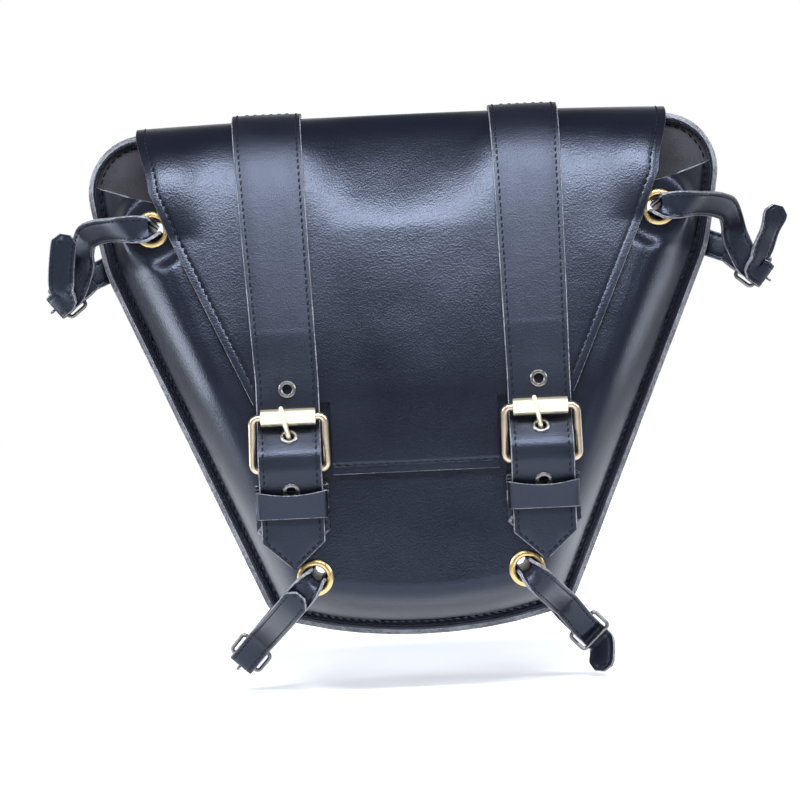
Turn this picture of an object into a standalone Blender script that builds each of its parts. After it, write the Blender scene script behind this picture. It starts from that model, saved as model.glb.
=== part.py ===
"""Leather saddle bag with a flap, two roller buckles and four mounting loops.

Frame: -Y to the front, +Z up, +X to the right as seen from the front, metres.
The origin is the centre of the flat rear face, which lies against the carrier.
Every piece is a separate solid with a running gap to its neighbours.
"""

import math

import bmesh
import bpy
from mathutils import Vector

MM = 0.001
GAP = 0.3 * MM

# Outline of the bag, right half, seen from the front
TOP_Z = 150 * MM
BOTTOM_Z = -151 * MM
BOTTOM_RADIUS = 304 * MM
FOOT = (88 * MM, -138.2 * MM)
FOOT_RADIUS = 22 * MM
BEND = (178 * MM, 70 * MM)
BEND_RADIUS = 80 * MM
SHOULDER = (192 * MM, 150 * MM)
SHOULDER_RADIUS = 34 * MM
BOTTOM_SAMPLES = (0, 30 * MM, 55 * MM)
FOOT_STEPS = 6
CORNER_STEPS = 4
FOOT_MIDDLE = len(BOTTOM_SAMPLES) + FOOT_STEPS // 2

# Layers, from the rear face forwards
LEATHER = 2.2 * MM
BOARD = 1.8 * MM
BOARD_MARGIN = 6 * MM
LINING = 0.8 * MM
BOARD_Y = -(LEATHER + GAP)
LINING_Y = BOARD_Y - BOARD - GAP
FLANGE_Y = LINING_Y - LINING - GAP
FRONT_BASE = -FLANGE_Y + LEATHER

# Seat on the rear face, clear of the eyelets and of the flap's sewn end
SEAT_HALF = 45 * MM
SEAT_LOW_Z = -85 * MM
SEAT_HIGH_Z = 65 * MM

# Edge binding all round
BINDING_WIDTH = 4.8 * MM
BINDING_BACK_Y = -0.3 * MM
BINDING_FRONT_Y = -9.6 * MM
PANEL_INSET = BINDING_WIDTH + GAP

# Bulge of the front panel above its sewn flange
FLANGE = 4 * MM
BULGE_MAX = 66 * MM
BULGE_TOP = 46 * MM
BULGE_START_Z = -10 * MM
BULGE_END_Z = 100 * MM
REACH_LOW = 24 * MM
REACH_HIGH = 33 * MM
MOUTH_SIDE_Z = 120 * MM
MOUTH_DIP = 20 * MM
EYELET_FLAT = 16 * MM
EYELET_BLEND = 9 * MM
EYELET_LIFT = 0.9 * MM
EYELET_HOLE = 7.5 * MM
LINING_SLACK = 2.2 * MM
PANEL_COLUMNS = 18
PANEL_ROWS = 15
LINING_MARGIN_CELLS = 3
LINING_TOP = 0.985

# Flap
FLAP = 1.6 * MM
FLAP_OUT = 3.8 * MM
FLAP_LINING = 0.5 * MM
FLAP_LINING_SLACK = 0.7 * MM
FLAP_LINING_LOW = 0.015
FLAP_FRONT_Z = 85 * MM
FLAP_FOLD_Y = -10.5 * MM
FLAP_COLUMNS = 14
FLAP_ROWS = 16
FLAP_FLAT_ROWS = 1 / FLAP_ROWS
FLAP_TOP_ROWS = 7 / FLAP_ROWS
FLAP_TOP_Z = 152.4 * MM
FLAP_CROWN = 2.5 * MM
FLAP_TAPER_Z = 110 * MM
FLAP_CORNER_Z = -48 * MM
FLAP_HALF_HIGH = 146 * MM
FLAP_HALF_LOW = 74 * MM
FLAP_FLARE = 8 * MM
FLAP_LOW_Z = -53 * MM
FLAP_TONGUE_HALF = 47.2 * MM
FLAP_STEP_Z = -12 * MM
FLAP_FULLNESS = (0.5, 0.74)
FLAP_FULL_X = (8 * MM, 54 * MM)
FLAP_UPRIGHT_X = (99 * MM, 128 * MM)
HINGE = Vector((0, 1.2 * MM, 151.4 * MM))
ANCHOR_HALF = 153 * MM
ANCHOR_Z = (122 * MM, 149.4 * MM)
ANCHOR_THICKNESS = 1.8 * MM

# Closing straps and their roller buckles
STRAP_X = 71 * MM
STRAP_HALF = 18 * MM
STRAP_TOP_Z = 150 * MM
STRAP_WIDENING = 2.2 * MM
LEFT_STRAP_LEAN = -7 * MM
STRAP = 2.4 * MM
HOLE_Z = (-4 * MM, -32 * MM, -60 * MM)
HEEL = (-49 * MM, 9.4 * MM)
ROLLER = (-19.5 * MM, 11.65 * MM)
WIRE = 2.1 * MM
FRAME_HALF_HEEL = 21 * MM
FRAME_HALF_TOP = 20.5 * MM
ROLLER_LENGTH = 31 * MM
ROLLER_RADIUS = 4.75 * MM
PRONG = 1.2 * MM
CHAPE = 1.6 * MM
STRAP_START = 0.045
STRAP_LIFT = 0.9 * MM
STRAP_TOP_ROWS = 9
TIP_Z = -105 * MM
TIP_SHOULDER = 15 * MM
FRAME_CORNER = 3.5 * MM
CHAPE_LOOP = 3.2 * MM
CHAPE_LOOP_HALF = 16.3 * MM
CHAPE_HALF = 21 * MM
CHAPE_TIP_HALF = 2 * MM
CHAPE_NECK_Z = -57 * MM
KEEPER_Z = (-61.5 * MM, -76.5 * MM)
KEEPER_WALL = 1.2 * MM
KEEPER_ROOM = 1.0 * MM
KEEPER_REAR = 4.5 * MM
KEEPER_FRONT = (14.0 * MM, 10.2 * MM)
# Strap route below the flap's flat part: height and clearance of its back face, in mm
STRAP_ROUTE = (
    (10, 4.1), (-4, 4.1), (-20, 4.1), (-24.5, 4.4), (-27, 5.2), (-32, 8.6), (-37, 12.0), (-41, 14.1),
    (-45, 14.6), (-50, 14.4), (-54, 12.4), (-60, 9.3), (-66, 6.4), (-71, 6.0), (-85, 5.7), (-105, 5.0))
# Chape: height and clearance of its middle, tip, back layer, loop over the heel bar, front layer, in mm
CHAPE_UP = ((-103, 1.2), (-84, 1.2), (-64, 1.2), (-60, 1.8), (-56.5, 4.0), (-53, 5.9))
CHAPE_DOWN = ((-52, 12.0), (-56, 7.0), (-59.5, 3.7), (-64, 3.3), (-75, 3.3))
# Shank of the prong: height and clearance over the panel, in mm
PRONG_SHANK = ((-44, 6.1), (-38, 7.1), (-34.5, 8.3), (-31.6, 10.1), (-27.5, 13.6), (-23.5, 16.7),
               (-19.5, 18.0), (-14.5, 17.7))
# Strap eyelet: radius and height over the strap, in mm
HOLE_PROFILE = [(r * MM, h * MM) for r, h in (
    (2.9, -2.2), (2.9, 0.8), (3.4, 1.15), (4.3, 1.15), (5.0, 0.7), (5.0, 0.3), (3.3, 0.3), (3.3, -2.2))]

# Mounting loops
TOP_EYELET = (145 * MM, 91 * MM)
LOW_EYELET = (60 * MM, -111 * MM)
TIE_HALF = 8 * MM
TIE = 2.0 * MM
TIE_FOLD = math.radians(62)
SMALL_WIRE = 1.15 * MM
SMALL_PRONG = 0.8 * MM
SMALL_FRAME_HALF = 10.35 * MM
SMALL_FRAME_LENGTH = 12 * MM
INSIDE_STEPS = 4
FORWARD = Vector((0, -1, 0))
REAR = Vector((0, 1, 0))
# Front and tail routes are (outwards, forward, height) in mm;
# the others are (along, forward) in mm from the heel bar
TIE_FOLD_BACK = ((-12, 2.6), (-7, 2.45), (-3, 2.45), (0, 2.45), (1.73, 1.73), (2.45, 0), (1.73, -1.73),
                 (0, -2.45), (-3, -2.45), (-7, -2.45), (-12, -2.45))
TIE_THROUGH = ((1, 5.2), (4.3, 3.4), (6.2, 0.2), (8.2, -2.3), (12, -2.9))
TIE_OVER = ((14.8, -1.2), (14.8, 2.2), (11.8, 5.2), (7, 7.6))
SMALL_PRONG_ROUTE = ((3, -3.3), (7, -4.8), (13, -5.0), (19, -4.2))

LOOPS = {
    "top_left": dict(
        side=-1, eyelet=TOP_EYELET, heel=(196, 60), along=(0.78, -0.62), over=True,
        front=((148, 61.5, 91), (158, 61, 91.5), (167, 54, 92), (175, 41, 92.5), (182, 27, 92),
               (187, 15.5, 90), (190, 8, 83), (191.5, 5, 74)),
        tail=((203, 10.5, 62), (202.5, 11.5, 72), (201, 13, 83), (199, 14, 93))),
    "top_right": dict(
        side=1, eyelet=TOP_EYELET, heel=(199, 60), along=(0.78, -0.62), over=True,
        front=((148, 61.5, 91), (158, 61, 91.5), (167, 54, 92), (175, 41, 92.5), (183, 27, 92),
               (189, 15.5, 90), (192, 8, 83), (194, 5, 74)),
        tail=((207.5, 11, 63), (211, 13.5, 72), (215, 16.5, 82), (218, 18, 91))),
    "bottom_left": dict(
        side=-1, eyelet=LOW_EYELET, heel=(98, -153), along=(0.67, -0.742), over=True,
        front=((64, 81.5, -115.4), (70, 79.5, -122), (78, 64, -131), (84, 44, -137.7), (89.5, 22, -143.6)),
        tail=((96.5, 13, -151), (92.7, 24, -147), (87.3, 46, -141), (81.3, 66, -134.4), (75, 81, -127.3),
              (68.5, 87.5, -120))),
    "bottom_right": dict(
        side=1, eyelet=LOW_EYELET, heel=(93.5, -149), along=(0.69, -0.724), over=False,
        front=((64, 81.5, -115.4), (70, 79.5, -121.5), (76.5, 62, -128.4), (81.4, 42, -133.5),
               (84.5, 20, -137)),
        tail=((105, -0.5, -162), (104.5, 3, -169), (102.5, 6, -177))),
}
LEATHER_COLOUR = (0.012, 0.013, 0.018)
STRAP_COLOUR = (0.016, 0.017, 0.022)
EDGE_COLOUR = (0.09, 0.09, 0.1)
LINING_COLOUR = (0.02, 0.02, 0.024)
BOARD_COLOUR = (0.2, 0.16, 0.11)
BRASS_COLOUR = (0.62, 0.45, 0.19)
GOLD_COLOUR = (0.74, 0.62, 0.4)
BRONZE_COLOUR = (0.48, 0.36, 0.2)
NICKEL_COLOUR = (0.22, 0.21, 0.2)


# ---------------------------------------------------------------- collections and materials

for old in list(bpy.data.objects):
    bpy.data.objects.remove(old, do_unlink=True)

parts = bpy.data.collections.new("saddle_bag")
cutters = bpy.data.collections.new("cutters")
for collection in (parts, cutters):
    bpy.context.scene.collection.children.link(collection)


def material(name, colour, roughness, metallic):
    result = bpy.data.materials.new(name)
    result.use_nodes = True
    shader = result.node_tree.nodes["Principled BSDF"]
    shader.inputs["Base Color"].default_value = (*colour, 1)
    shader.inputs["Roughness"].default_value = roughness
    shader.inputs["Metallic"].default_value = metallic
    result.diffuse_color = (*colour, 1)
    return result


FINISHES = {
    "leather": (LEATHER_COLOUR, 0.38, 0),
    "strap": (STRAP_COLOUR, 0.45, 0),
    "edge": (EDGE_COLOUR, 0.7, 0),
    "lining": (LINING_COLOUR, 0.85, 0),
    "board": (BOARD_COLOUR, 0.9, 0),
    "brass": (BRASS_COLOUR, 0.28, 1),
    "gold": (GOLD_COLOUR, 0.25, 1),
    "bronze": (BRONZE_COLOUR, 0.3, 1),
    "nickel": (NICKEL_COLOUR, 0.3, 1),
}


def add(name, data, finish):
    """A part with its own material, in the bag's collection."""
    part = bpy.data.objects.new(name, data)
    part.data.materials.append(material(name, *FINISHES[finish]))
    parts.objects.link(part)
    return part


def attach(part, pivot):
    """Hang a part on an empty that lies on its joint's axis, without moving it."""
    part.parent = pivot
    part.location = part.location - pivot.location


def pivot_at(name, location):
    pivot = bpy.data.objects.new(name, None)
    pivot.location = location
    parts.objects.link(pivot)
    return pivot


# ---------------------------------------------------------------- outline and surfaces


def lerp(a, b, t):
    return a + (b - a) * t


def clamp(value):
    return min(max(value, 0), 1)


def smooth(t):
    t = clamp(t)
    return t * t * (3 - 2 * t)


def fillet(before, corner, after, radius, steps):
    """Arc points that round a corner."""
    corner = Vector(corner)
    to_before = (Vector(before) - corner).normalized()
    to_after = (Vector(after) - corner).normalized()
    half = to_before.angle(to_after) / 2
    centre = corner + (to_before + to_after).normalized() * (radius / math.sin(half))
    reach = radius / math.tan(half)
    start = corner + to_before * reach - centre
    end = corner + to_after * reach - centre
    turn = start.angle(end)
    points = []
    for step in range(steps + 1):
        share = step / steps
        weight_start = math.sin((1 - share) * turn) / math.sin(turn)
        weight_end = math.sin(share * turn) / math.sin(turn)
        points.append(centre + start * weight_start + end * weight_end)
    return points


def bottom_z(x):
    return BOTTOM_Z + BOTTOM_RADIUS - math.sqrt(BOTTOM_RADIUS ** 2 - x ** 2)


def half_outline(inset):
    """Right half of the outline, from the bottom centre to the top centre."""
    points = [Vector((x, bottom_z(x))) for x in BOTTOM_SAMPLES]
    points += fillet(points[-1], FOOT, BEND, FOOT_RADIUS, FOOT_STEPS)
    points += fillet(FOOT, BEND, SHOULDER, BEND_RADIUS, CORNER_STEPS)
    points += fillet(BEND, SHOULDER, (0, TOP_Z), SHOULDER_RADIUS, FOOT_STEPS)
    points.append(Vector((0, TOP_Z)))
    moved = []
    last = len(points) - 1
    for index, point in enumerate(points):
        along = points[min(index + 1, last)] - points[max(index - 1, 0)]
        if index in (0, last):
            along.y = 0
        normal = Vector((-along.y, along.x)).normalized()
        moved.append(point + normal * inset)
    return moved


def full_outline(inset):
    right = half_outline(inset)
    left = [Vector((-point.x, point.y)) for point in reversed(right[1:-1])]
    return right + left


PANEL_EDGE = [point for point in half_outline(PANEL_INSET) if point.x > SHOULDER_RADIUS or point.y < 0]


def edge_distance(x, z):
    """Distance from the sewn side and bottom edge of the panel."""
    point = Vector((abs(x), z))
    best = 1.0
    for start, end in zip(PANEL_EDGE[:-1], PANEL_EDGE[1:]):
        span = end - start
        share = clamp((point - start).dot(span) / span.dot(span))
        best = min(best, (point - start - span * share).length)
    return best


def bulge(x, z):
    rise = clamp((z - BULGE_START_Z) / (BULGE_END_Z - BULGE_START_Z))
    depth = BULGE_MAX - (BULGE_MAX - BULGE_TOP) * rise ** 1.3
    reach = lerp(REACH_LOW, REACH_HIGH, clamp((z + TOP_EYELET[1]) / (2 * TOP_EYELET[1])))
    share = clamp((edge_distance(x, z) - FLANGE) / reach)
    return depth * math.sin(math.pi / 2 * share) ** 0.55


def front_y(x, z):
    """Outer face of the front panel, without the flats under the eyelets."""
    return -(FRONT_BASE + bulge(x, z))


def panel_y(x, z):
    """Outer face of the front panel, flat round the upper eyelets."""
    away = math.hypot(abs(x) - TOP_EYELET[0], z - TOP_EYELET[1])
    flat = 1 - smooth((away - EYELET_FLAT) / EYELET_BLEND)
    return lerp(front_y(x, z), front_y(*TOP_EYELET), flat)


# ---------------------------------------------------------------- modelling helpers


def sheet(name, columns, rows, place, thickness, offset, finish):
    """A curved sheet: a grid moved to place(u, v), thickened by Solidify."""
    shape = bmesh.new()
    bmesh.ops.create_grid(shape, x_segments=columns, y_segments=rows, size=0.5)
    for vertex in shape.verts:
        vertex.co = place(clamp(vertex.co.x + 0.5), clamp(vertex.co.y + 0.5))
    mesh = bpy.data.meshes.new(name)
    shape.to_mesh(mesh)
    shape.free()
    mesh.shade_smooth()
    part = add(name, mesh, finish)
    solid = part.modifiers.new("thickness", "SOLIDIFY")
    solid.thickness = thickness
    solid.offset = offset
    return part


def loft(name, rings, finish):
    """Closed rings joined in turn, the last one to the first."""
    shape = bmesh.new()
    loops = [[shape.verts.new(point) for point in ring] for ring in rings]
    for loop, following in zip(loops, loops[1:] + loops[:1]):
        for index in range(len(loop)):
            after = (index + 1) % len(loop)
            shape.faces.new((loop[index], loop[after], following[after], following[index]))
    bmesh.ops.recalc_face_normals(shape, faces=shape.faces)
    mesh = bpy.data.meshes.new(name)
    shape.to_mesh(mesh)
    shape.free()
    return add(name, mesh, finish)


def plate(name, outline, y_front, y_back, finish):
    """A flat outline in XZ between two Y values."""
    curve = bpy.data.curves.new(name, "CURVE")
    curve.dimensions = "2D"
    curve.fill_mode = "BOTH"
    curve.extrude = (y_back - y_front) / 2
    spline = curve.splines.new("POLY")
    spline.points.add(len(outline) - 1)
    for point, place in zip(spline.points, outline):
        point.co = (place.x, place.y, 0, 1)
    spline.use_cyclic_u = True
    guide = bpy.data.objects.new(name + "_outline", curve)
    guide.rotation_euler = (math.pi / 2, 0, 0)
    guide.location = (0, (y_front + y_back) / 2, 0)
    bpy.context.scene.collection.objects.link(guide)
    bpy.context.view_layer.update()
    mesh = bpy.data.meshes.new_from_object(guide.evaluated_get(bpy.context.evaluated_depsgraph_get()))
    mesh.transform(guide.matrix_world)
    bpy.data.objects.remove(guide, do_unlink=True)
    shape = bmesh.new()
    shape.from_mesh(mesh)
    bmesh.ops.remove_doubles(shape, verts=shape.verts, dist=1e-6)
    shape.to_mesh(mesh)
    shape.free()
    mesh.materials.clear()
    mesh.name = name
    return add(name, mesh, finish)


def wire(name, points, radius, closed, finish):
    """A round wire along straight runs between points."""
    curve = bpy.data.curves.new(name, "CURVE")
    curve.dimensions = "3D"
    curve.bevel_depth = radius
    curve.bevel_resolution = 2
    curve.use_fill_caps = True
    spline = curve.splines.new("POLY")
    spline.points.add(len(points) - 1)
    for point, place in zip(spline.points, points):
        point.co = (*place, 1)
    spline.use_cyclic_u = closed
    return add(name, curve, finish)


def divide(part, place, normal):
    """Split a part's faces along a plane, without changing its shape."""
    shape = bmesh.new()
    shape.from_mesh(part.data)
    everything = shape.verts[:] + shape.edges[:] + shape.faces[:]
    bmesh.ops.bisect_plane(shape, geom=everything, plane_co=place, plane_no=normal)
    shape.to_mesh(part.data)
    shape.free()


def turned(name, profile, place, normal, steps, finish):
    """A ring turned from a closed (radius, height) profile, its axis along normal."""
    mesh = bpy.data.meshes.new(name)
    corners = [(radius, 0, height) for radius, height in profile]
    edges = [(index, (index + 1) % len(corners)) for index in range(len(corners))]
    mesh.from_pydata(corners, edges, [])
    part = add(name, mesh, finish)
    part.location = place
    part.rotation_mode = "QUATERNION"
    part.rotation_quaternion = Vector((0, 0, 1)).rotation_difference(normal)
    screw = part.modifiers.new("turn", "SCREW")
    screw.axis = "Z"
    screw.steps = steps
    screw.render_steps = steps
    screw.use_merge_vertices = True
    screw.merge_threshold = 0.00005
    return part


def cut(part, cutter):
    knife = part.modifiers.new("cut", "BOOLEAN")
    knife.operation = "DIFFERENCE"
    knife.solver = "EXACT"
    knife.object = cutter


def as_cutter(cutter):
    for collection in cutter.users_collection:
        collection.objects.unlink(cutter)
    cutters.objects.link(cutter)
    cutter.hide_render = True
    cutter.display_type = "WIRE"
    return cutter


def drill(place, normal, radius, length):
    """A round cutter centred on a point."""
    bpy.ops.mesh.primitive_cylinder_add(vertices=16, radius=radius, depth=length, location=place)
    cutter = bpy.context.object
    cutter.rotation_mode = "QUATERNION"
    cutter.rotation_quaternion = Vector((0, 0, 1)).rotation_difference(normal)
    return as_cutter(cutter)


def box_cutter(place, size, turn):
    bpy.ops.mesh.primitive_cube_add(size=1, location=place)
    cutter = bpy.context.object
    cutter.scale = size
    cutter.rotation_euler = (0, turn, 0)
    bpy.context.view_layer.update()
    return as_cutter(cutter)


def walk(path, share):
    """The point at a share of a path's length."""
    lengths = [(b - a).length for a, b in zip(path[:-1], path[1:])]
    left = clamp(share) * sum(lengths)
    for start, end, length in zip(path[:-1], path[1:], lengths):
        if left <= length:
            return start.lerp(end, left / length)
        left -= length
    return path[-1].copy()


def curve_through(points, steps):
    """Catmull-Rom curve through points of any dimension, given as tuples."""
    closed = [points[0]] + list(points) + [points[-1]]
    result = []
    for index in range(1, len(closed) - 2):
        p0, p1, p2, p3 = closed[index - 1:index + 3]
        for step in range(steps):
            t = step / steps
            result.append(tuple(
                0.5 * (2 * b + (c - a) * t + (2 * a - 5 * b + 4 * c - d) * t * t
                       + (3 * b - a - 3 * c + d) * t ** 3)
                for a, b, c, d in zip(p0, p1, p2, p3)))
    result.append(tuple(points[-1]))
    return result


# ---------------------------------------------------------------- shell of the bag


def side_path():
    """Panel edge from the middle of the foot corner to the mouth."""
    path = [half_outline(PANEL_INSET)[FOOT_MIDDLE]]
    for point in half_outline(PANEL_INSET)[FOOT_MIDDLE + 1:]:
        if point.y > MOUTH_SIDE_Z:
            share = (MOUTH_SIDE_Z - path[-1].y) / (point.y - path[-1].y)
            path.append(path[-1].lerp(point, share))
            return path
        path.append(point)
    return path


SIDE_PATH = side_path()
FOOT_PATH = half_outline(PANEL_INSET)[:FOOT_MIDDLE + 1]


def mouth_z(x):
    return MOUTH_SIDE_Z - MOUTH_DIP * (1 - abs(x / SIDE_PATH[-1].x) ** 5)


def patch(u, v):
    """Flat place in the front panel: a Coons patch inside its four edges."""
    across = math.sin(math.pi / 2 * (2 * u - 1))
    up = (1 - math.cos(math.pi * v)) / 2
    share = (across + 1) / 2
    foot = walk(FOOT_PATH, abs(across))
    foot.x = math.copysign(foot.x, across)
    right = walk(SIDE_PATH, up)
    left = Vector((-right.x, right.y))
    mouth_x = across * SIDE_PATH[-1].x
    mouth = Vector((mouth_x, mouth_z(mouth_x)))
    corners = (
        lerp(Vector((-SIDE_PATH[0].x, SIDE_PATH[0].y)), SIDE_PATH[0], share) * (1 - up)
        + lerp(Vector((-SIDE_PATH[-1].x, SIDE_PATH[-1].y)), SIDE_PATH[-1], share) * up)
    return foot * (1 - up) + mouth * up + left * (1 - share) + right * share - corners


def panel_point(u, v):
    flat = patch(u, v)
    return Vector((flat.x, panel_y(flat.x, flat.y), flat.y))


def panel_normal(u, v):
    step = 0.01
    along = panel_point(clamp(u + step), v) - panel_point(clamp(u - step), v)
    up = panel_point(u, clamp(v + step)) - panel_point(u, clamp(v - step))
    return along.cross(up).normalized()


def front_lining_point(u, v):
    """Inner face of the panel, short of its flange and of the mouth's edge."""
    margin = LINING_MARGIN_CELLS / PANEL_COLUMNS
    inner_u = lerp(margin, 1 - margin, u)
    inner_v = min(lerp(LINING_MARGIN_CELLS / PANEL_ROWS, 1, v), LINING_TOP)
    shift = LEATHER + LINING_SLACK
    return panel_point(inner_u, inner_v) - panel_normal(inner_u, inner_v) * shift


back_panel = plate("back_panel", full_outline(PANEL_INSET), -LEATHER, 0, "leather")
for seam, normal in (
        ((0, 0, SEAT_LOW_Z), (0, 0, 1)), ((0, 0, SEAT_HIGH_Z), (0, 0, 1)),
        ((-SEAT_HALF, 0, 0), (1, 0, 0)), ((SEAT_HALF, 0, 0), (1, 0, 0))):
    divide(back_panel, seam, normal)
back_board = plate("back_board", full_outline(PANEL_INSET + BOARD_MARGIN), BOARD_Y - BOARD, BOARD_Y, "board")
back_lining = plate("back_lining", full_outline(PANEL_INSET), LINING_Y - LINING, LINING_Y, "lining")
front_panel = sheet("front_panel", PANEL_COLUMNS, PANEL_ROWS, panel_point, LEATHER, -1, "leather")
front_lining = sheet(
    "front_lining", PANEL_COLUMNS - 2 * LINING_MARGIN_CELLS, PANEL_ROWS - LINING_MARGIN_CELLS,
    front_lining_point, LINING, -1, "lining")


def binding_ring(outer, inner):
    """Section of the edge binding between the outline and the panel edge."""
    return [
        Vector((lerp(outer.x, inner.x, share), y, lerp(outer.y, inner.y, share)))
        for share, y in (
            (1, BINDING_BACK_Y), (0.25, BINDING_BACK_Y), (0, BINDING_BACK_Y - 2 * MM),
            (0, BINDING_FRONT_Y + 2 * MM), (0.3, BINDING_FRONT_Y), (1, BINDING_FRONT_Y))]


loft("edge_binding", [
    binding_ring(outer, inner)
    for outer, inner in zip(full_outline(0), full_outline(BINDING_WIDTH))], "edge")

anchor_outline = [
    Vector((x, z)) for x, z in (
        (-ANCHOR_HALF, ANCHOR_Z[0]), (ANCHOR_HALF, ANCHOR_Z[0]),
        (ANCHOR_HALF, ANCHOR_Z[1]), (-ANCHOR_HALF, ANCHOR_Z[1]))]
plate("flap_anchor", anchor_outline, GAP, GAP + ANCHOR_THICKNESS, "leather")


# ---------------------------------------------------------------- eyelets of the mounting loops


def eyelet_profile(depth):
    """Barrel of the given depth under a rolled flange."""
    return [(r * MM, h * MM) for r, h in (
        (6.7, -depth / MM), (6.7, 0.7), (7.6, 1.4), (9.2, 1.4),
        (10.35, 0.7), (10.35, 0.1), (7.2, 0.1), (7.2, -depth / MM))]


for level, (eyelet_x, eyelet_z) in (("top", TOP_EYELET), ("bottom", LOW_EYELET)):
    for side, side_name in ((-1, "left"), (1, "right")):
        face = Vector((side * eyelet_x, panel_y(eyelet_x, eyelet_z), eyelet_z))
        rear = Vector((side * eyelet_x, 0, eyelet_z))
        front_hole = drill(face, FORWARD, EYELET_HOLE, 24 * MM)
        rear_hole = drill(rear, FORWARD, EYELET_HOLE, 24 * MM)
        for part in (front_panel, front_lining):
            cut(part, front_hole)
        for part in (back_panel, back_board, back_lining):
            cut(part, rear_hole)
        seat = face + FORWARD * EYELET_LIFT
        turned(f"front_eyelet_{level}_{side_name}", eyelet_profile(4.6 * MM), seat, FORWARD, 14, "brass")
        turned(
            f"back_eyelet_{level}_{side_name}", eyelet_profile(5.6 * MM), rear + REAR * GAP, REAR,
            14, "brass")


# ---------------------------------------------------------------- flap

flap_pivot = pivot_at("flap_pivot", HINGE)


def flap_half(z):
    """Half-width of the flap at a height."""
    down = clamp((FLAP_TAPER_Z - z) / (FLAP_TAPER_Z - FLAP_CORNER_Z))
    flare = FLAP_FLARE * smooth((z - FLAP_TAPER_Z) / (FLAP_TOP_Z - FLAP_TAPER_Z))
    return lerp(FLAP_HALF_HIGH, FLAP_HALF_LOW, down) + flare


def flap_fold(x, share):
    """Outer face of the fold, from the flat top (share 0) down to the panel's slope (share 1)."""
    top = Vector((x, FLAP_FOLD_Y, FLAP_TOP_Z + FLAP_CROWN * (1 - (x / ANCHOR_HALF) ** 2)))
    end = Vector((x, front_y(x, FLAP_FRONT_Z) - FLAP_OUT, FLAP_FRONT_Z))
    inner, outer = FLAP_FULL_X
    fullness = lerp(*FLAP_FULLNESS, smooth((abs(x) - inner) / (outer - inner)))
    inner, outer = FLAP_UPRIGHT_X
    slope = (front_y(x, FLAP_FRONT_Z + MM) - front_y(x, FLAP_FRONT_Z)) / MM
    slope *= smooth((outer - abs(x)) / (outer - inner))
    rise = (top.z - end.z) * fullness
    ahead = Vector((x, lerp(top.y, end.y, fullness), top.z))
    above = end + Vector((0, slope * rise, rise))
    rest = 1 - share
    return top * rest ** 3 + ahead * 3 * rest ** 2 * share + above * 3 * rest * share ** 2 + end * share ** 3


def flap_outer(x, v):
    """Place on the flap's outer face, v from the hinge (0) to the lower edge (1)."""
    if v < FLAP_FLAT_ROWS:
        edge = flap_fold(x, 0)
        return Vector((x, lerp(HINGE.y, FLAP_FOLD_Y, clamp(v / FLAP_FLAT_ROWS)), edge.z))
    if v < FLAP_TOP_ROWS:
        return flap_fold(x, (v - FLAP_FLAT_ROWS) / (FLAP_TOP_ROWS - FLAP_FLAT_ROWS))
    z = lerp(FLAP_FRONT_Z, FLAP_LOW_Z, (v - FLAP_TOP_ROWS) / (1 - FLAP_TOP_ROWS))
    return Vector((x, front_y(x, z) - FLAP_OUT, z))


def flap_point(u, v):
    """The sheet runs from the lower edge (v 0) to the hinge (v 1)."""
    down = 1 - v
    x = (2 * u - 1) * flap_half(flap_outer(0, down).z)
    return flap_outer(x, down)


def flap_normal(u, v):
    step = 0.01
    along = flap_point(clamp(u + step), v) - flap_point(clamp(u - step), v)
    up = flap_point(u, clamp(v + step)) - flap_point(u, clamp(v - step))
    return along.cross(up).normalized()


def flap_lining_point(u, v):
    inner_u = lerp(1 / FLAP_COLUMNS, 1 - 1 / FLAP_COLUMNS, u)
    inner_v = max(v * (1 - FLAP_FLAT_ROWS), FLAP_LINING_LOW)
    return flap_point(inner_u, inner_v) - flap_normal(inner_u, inner_v) * (FLAP + FLAP_LINING_SLACK)


# Below the straps' upper eyelets the flap narrows to a tongue that lifts out between the buckles.
flap = sheet("flap", FLAP_COLUMNS, FLAP_ROWS, flap_point, FLAP, -1, "leather")
flap_lining = sheet(
    "flap_lining", FLAP_COLUMNS - 2, FLAP_ROWS - 1, flap_lining_point, FLAP_LINING, -1, "lining")
for side in (-1, 1):
    corner_box = box_cutter(
        (side * (FLAP_TONGUE_HALF + 30 * MM), -70 * MM, FLAP_STEP_Z - 30 * MM),
        (60 * MM, 80 * MM, 60 * MM), 0)
    cut(flap, corner_box)
    cut(flap_lining, corner_box)
attach(flap, flap_pivot)
attach(flap_lining, flap_pivot)


# ---------------------------------------------------------------- closing straps and buckles

def base_y(z):
    """Front panel's outer face behind the straps and buckles."""
    return front_y(0, z)


def strap_clearance(z):
    """Clearance of the strap's back face over the front panel."""
    places = curve_through(STRAP_ROUTE, 3)
    for (z1, n1), (z0, n0) in zip(places[:-1], places[1:]):
        if z0 * MM <= z <= z1 * MM:
            return lerp(n0, n1, (z / MM - z0) / (z1 - z0)) * MM
    return places[0][1] * MM


def strap_centres():
    """Back-face centreline (y, z), from the top of the bag to the strap's tip."""
    centres = []
    for row in range(STRAP_TOP_ROWS):
        v = lerp(STRAP_START, FLAP_TOP_ROWS + 0.2, row / (STRAP_TOP_ROWS - 1))
        before = flap_outer(STRAP_X, v - 0.01)
        after = flap_outer(STRAP_X, v + 0.01)
        normal = Vector((1, 0, 0)).cross(before - after).normalized()
        place = flap_outer(STRAP_X, v) + normal * STRAP_LIFT
        centres.append((place.y, place.z))
    for z, clearance in curve_through(STRAP_ROUTE, 2):
        centres.append((base_y(z * MM) - clearance * MM, z * MM))
    return centres


CENTRES = strap_centres()


def strap_half(z):
    """Half-width of the strap, pointed at its lower end and a little wider towards its top."""
    widening = STRAP_WIDENING * clamp(z / STRAP_TOP_Z)
    return lerp(1.5 * MM, STRAP_HALF, clamp((z - TIP_Z) / TIP_SHOULDER)) + widening


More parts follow.
